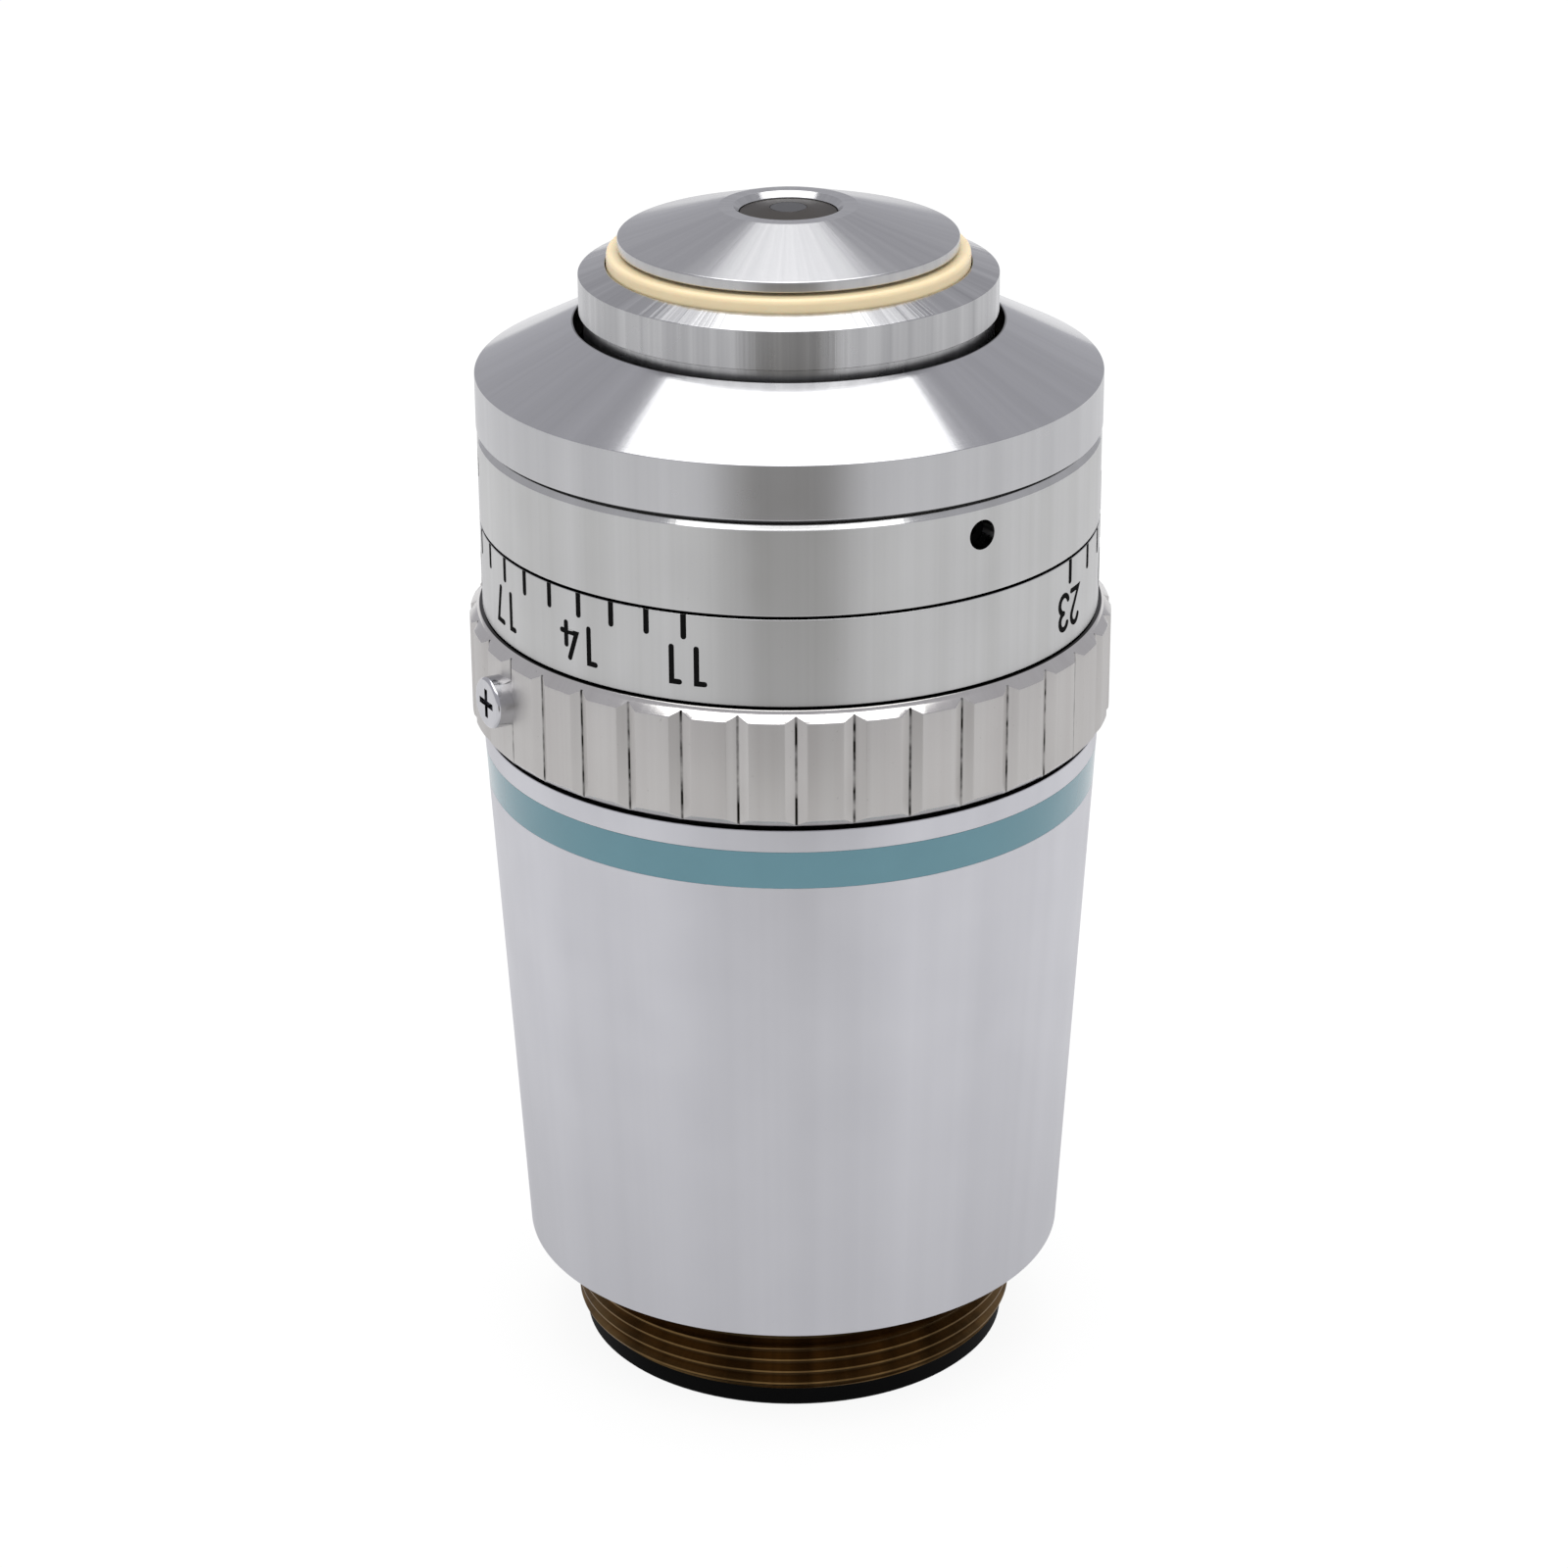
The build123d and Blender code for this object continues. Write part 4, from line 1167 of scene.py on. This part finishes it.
# nose
nose = {
    "tip": 59.7,
    "holeR": 2.62,
    "bevel": 0.3,
    "flatR": 3.7,
    "rimR": 9.08,
    "rimTop": 58.14,
    "rimLow": 57.58,
    "stemLow": 47.52,
}
finished(
    "noseCone",
    spun(
        [
            (nose["holeR"], 58.95),
            (nose["holeR"], nose["tip"] - nose["bevel"], 0.05),
            (nose["holeR"] + nose["bevel"], nose["tip"], 0.04),
            (nose["flatR"], nose["tip"], 0.1),
            (nose["rimR"], nose["rimTop"], 0.09),
            (nose["rimR"], nose["rimLow"], 0.07),
            (8.28, nose["rimLow"]),
            (8.28, nose["stemLow"]),
            (7.0, nose["stemLow"]),
            (7.0, 57.5),
        ]
    ),
    nosePlate,
    "nose",
    ["nose_cone"],
)
finished(
    "noseRing",
    spun([(8.3, 55.57), (9.68, 55.57), (9.68, 57.4, 0.27), (8.3, 57.4)]),
    creamPlastic,
    "nose",
    ["nose_ring"],
)
noseSleeve = {"r": 11.2, "low": 39.1, "chamferLow": 56.19, "high": 56.7, "lipR": 9.85}
neck = {"r": 10.95, "low": 51.62, "high": 54.12}
finished(
    "noseSleeve",
    spun(
        [
            (9.72, noseSleeve["low"]),
            (noseSleeve["r"], noseSleeve["low"], 0.1),
            (noseSleeve["r"], neck["low"], 0.03),
            (neck["r"], neck["low"]),
            (neck["r"], neck["high"]),
            (noseSleeve["r"], neck["high"], 0.03),
            (noseSleeve["r"], noseSleeve["chamferLow"], 0.05),
            (noseSleeve["lipR"], noseSleeve["high"], 0.05),
            (9.75, noseSleeve["high"], 0.03),
            (9.75, 55.55),
            (8.32, 55.55),
            (8.32, 53.35),
            (9.72, 53.35),
        ]
    ),
    sleevePlate,
    "nose",
    ["nose_sleeve"],
)
print("turned pieces done")

# CAD nodes that stay, with their finish
finishes = {
    "colour_ring": blueEnamel,
    "rear_ring": blackened,
    "body_tube": bareBrass,
    "guide_pin": brightSteel,
    "main_spring": brightSteel,
    "collar_screw": brightSteel,
    "front_cell": bronzed,
    "drag_washer": blackened,
    "cam_ring": bareBrass,
    "cam_pin": brightSteel,
    "lens_core": bareBrass,
    "front_lens": frontGlass,
}
for name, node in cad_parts.items():
    kept = finishes.get(name)
    if kept is None:
        glass = name.endswith(("_lens", "_crown", "_flint"))
        kept = innerGlass if glass else blackened
    node.data.materials.clear()
    node.data.materials.append(kept)

# floor, light and camera
room = {"floorZ": -6.3, "floorSize": 6000, "lampHeight": 640}
# The soft lamps overhead, from front to back. They grow narrower behind the object, and weaker.
lamps = {
    "lampFront": {"front": -413, "back": 88, "left": -400, "right": 400, "radiance": 2.0},
    "lampMiddle": {"front": 88, "back": 364, "left": -241, "right": 241, "radiance": 2.0},
    "lampBack": {"front": 364, "back": 435, "left": -124, "right": 124, "radiance": 2.0},
    "lampBackLeft": {"front": 364, "back": 520, "left": -250, "right": -126, "radiance": 0.85},
    "lampBackRight": {"front": 364, "back": 520, "left": 126, "right": 250, "radiance": 0.85},
    "lampFar": {"front": 435, "back": 676, "left": -122, "right": 122, "radiance": 0.74},
}


def studioFloor():
    material, tree = newMaterial("pale_table")
    ray = addNode(tree, "ShaderNodeLightPath").outputs
    spot = addNode(tree, "ShaderNodeTexCoord").outputs["Object"]
    place = addNode(tree, "ShaderNodeSeparateXYZ", {0: spot}).outputs
    # painted shade: a dark wedge on the table in front of the object, which shows only in reflections in
    # polished metal
    ahead = addNode(
        tree,
        "ShaderNodeMapRange",
        {"Value": place["Y"], "From Min": -0.07, "From Max": -0.15, "To Min": 0.0, "To Max": 1.0},
        interpolation_type="SMOOTHSTEP",
    ).outputs[0]
    aside = addNode(tree, "ShaderNodeMath", {0: place["X"], 1: 0.0}, operation="ABSOLUTE").outputs[0]
    reach = addNode(tree, "ShaderNodeMath", {0: place["Y"], 1: -0.62}, operation="MULTIPLY").outputs[0]
    inside = addNode(tree, "ShaderNodeMath", {0: aside, 1: reach}, operation="DIVIDE").outputs[0]
    wedge = addNode(
        tree,
        "ShaderNodeMapRange",
        {"Value": inside, "From Min": 0.35, "From Max": 1.0, "To Min": 1.0, "To Max": 0.0},
        interpolation_type="SMOOTHSTEP",
    ).outputs[0]
    gloom = addNode(tree, "ShaderNodeMath", {0: ahead, 1: wedge}, operation="MULTIPLY").outputs[0]
    mirrored = addNode(
        tree,
        "ShaderNodeMix",
        {"Factor": gloom, "A": linear("#f2f2f4"), "B": linear("#8e8c88")},
        data_type="RGBA",
    ).outputs["Result"]
    paint = addNode(tree, "ShaderNodeBsdfDiffuse", {"Color": linear("#f4f4f4")}).outputs[0]
    # close to the object the table lies in its shadow
    away = addNode(tree, "ShaderNodeVectorMath", {0: spot, 1: (1, 1, 0)}, operation="MULTIPLY").outputs[0]
    distance = addNode(tree, "ShaderNodeVectorMath", {0: away}, operation="LENGTH").outputs["Value"]
    openness = addNode(
        tree,
        "ShaderNodeMapRange",
        {"Value": distance, "From Min": 0.024, "From Max": 0.058, "To Min": 0.78, "To Max": 1.0},
        interpolation_type="SMOOTHSTEP",
    ).outputs[0]
    seen = addNode(tree, "ShaderNodeEmission", {"Color": mirrored, "Strength": openness}).outputs[0]
    white = addNode(tree, "ShaderNodeEmission", {"Color": (1, 1, 1, 1), "Strength": 1.0}).outputs[0]
    glossy = addNode(tree, "ShaderNodeMixShader", {0: ray["Is Glossy Ray"], 1: paint, 2: seen}).outputs[0]
    direct = ray["Is Camera Ray"]
    through = ray["Is Transmission Ray"]
    share = addNode(tree, "ShaderNodeMath", {0: direct, 1: 0.9}, operation="MULTIPLY").outputs[0]
    both = addNode(tree, "ShaderNodeMath", {0: share, 1: through}, operation="MAXIMUM").outputs[0]
    mixed = addNode(tree, "ShaderNodeMixShader", {0: both, 1: glossy, 2: white}).outputs[0]
    addNode(tree, "ShaderNodeOutputMaterial", {"Surface": mixed})
    return material


half = room["floorSize"] / 2 * mm
plane = bmesh.new()
corners = ((-1, -1), (1, -1), (1, 1), (-1, 1))
plane.faces.new([plane.verts.new((x * half, y * half, room["floorZ"] * mm)) for x, y in corners])
floorMesh = bpy.data.meshes.new("floor")
plane.to_mesh(floorMesh)
plane.free()
floorMesh.materials.append(studioFloor())
floor = bpy.data.objects.new("floor", floorMesh)
bpy.context.scene.collection.objects.link(floor)

world = bpy.data.worlds.new("studio")
bpy.context.scene.world = world
world.use_nodes = True
sky = world.node_tree
sky.nodes.clear()
rays = addNode(sky, "ShaderNodeLightPath").outputs
walls = addNode(sky, "ShaderNodeBackground", {"Color": linear("#bdbdc3"), "Strength": 1.0}).outputs[0]
backdrop = addNode(sky, "ShaderNodeBackground", {"Color": (1, 1, 1, 1), "Strength": 1.0}).outputs[0]
seenWorld = addNode(sky, "ShaderNodeMixShader", {0: rays["Is Glossy Ray"], 1: backdrop, 2: walls}).outputs[0]
addNode(sky, "ShaderNodeOutputWorld", {"Surface": seenWorld})

for name, size in lamps.items():
    light = bpy.data.lights.new(name, "AREA")
    light.shape = "RECTANGLE"
    light.size = (size["right"] - size["left"]) * mm
    light.size_y = (size["back"] - size["front"]) * mm
    light.energy = size["radiance"] * math.pi * light.size * light.size_y
    lamp = bpy.data.objects.new(name, light)
    lamp.location = Vector(
        ((size["left"] + size["right"]) / 2, (size["back"] + size["front"]) / 2, room["lampHeight"])
    ) * mm
    bpy.context.scene.collection.objects.link(lamp)

view = {
    "distance": 221.1,
    "height": 120.9,
    "downPitch": 23.12,
    "roll": -0.3,
    "focalPixels": 4400,
    "axisRight": 7.5,
}
lens = bpy.data.cameras.new("camera")
lens.sensor_width = 36
lens.lens = view["focalPixels"] * 36 / 1600
lens.shift_x = -view["axisRight"] / 1600
lens.clip_start = 0.01
camera = bpy.data.objects.new("camera", lens)
camera.location = (0, -view["distance"] * mm, view["height"] * mm)
pitch = Matrix.Rotation(math.radians(90 - view["downPitch"]), 3, "X")
roll = Matrix.Rotation(math.radians(view["roll"]), 3, "Z")
camera.rotation_euler = (pitch @ roll).to_euler()
bpy.context.scene.collection.objects.link(camera)
bpy.context.scene.camera = camera
bpy.context.scene.view_settings.view_transform = "Standard"
print("light and camera set")
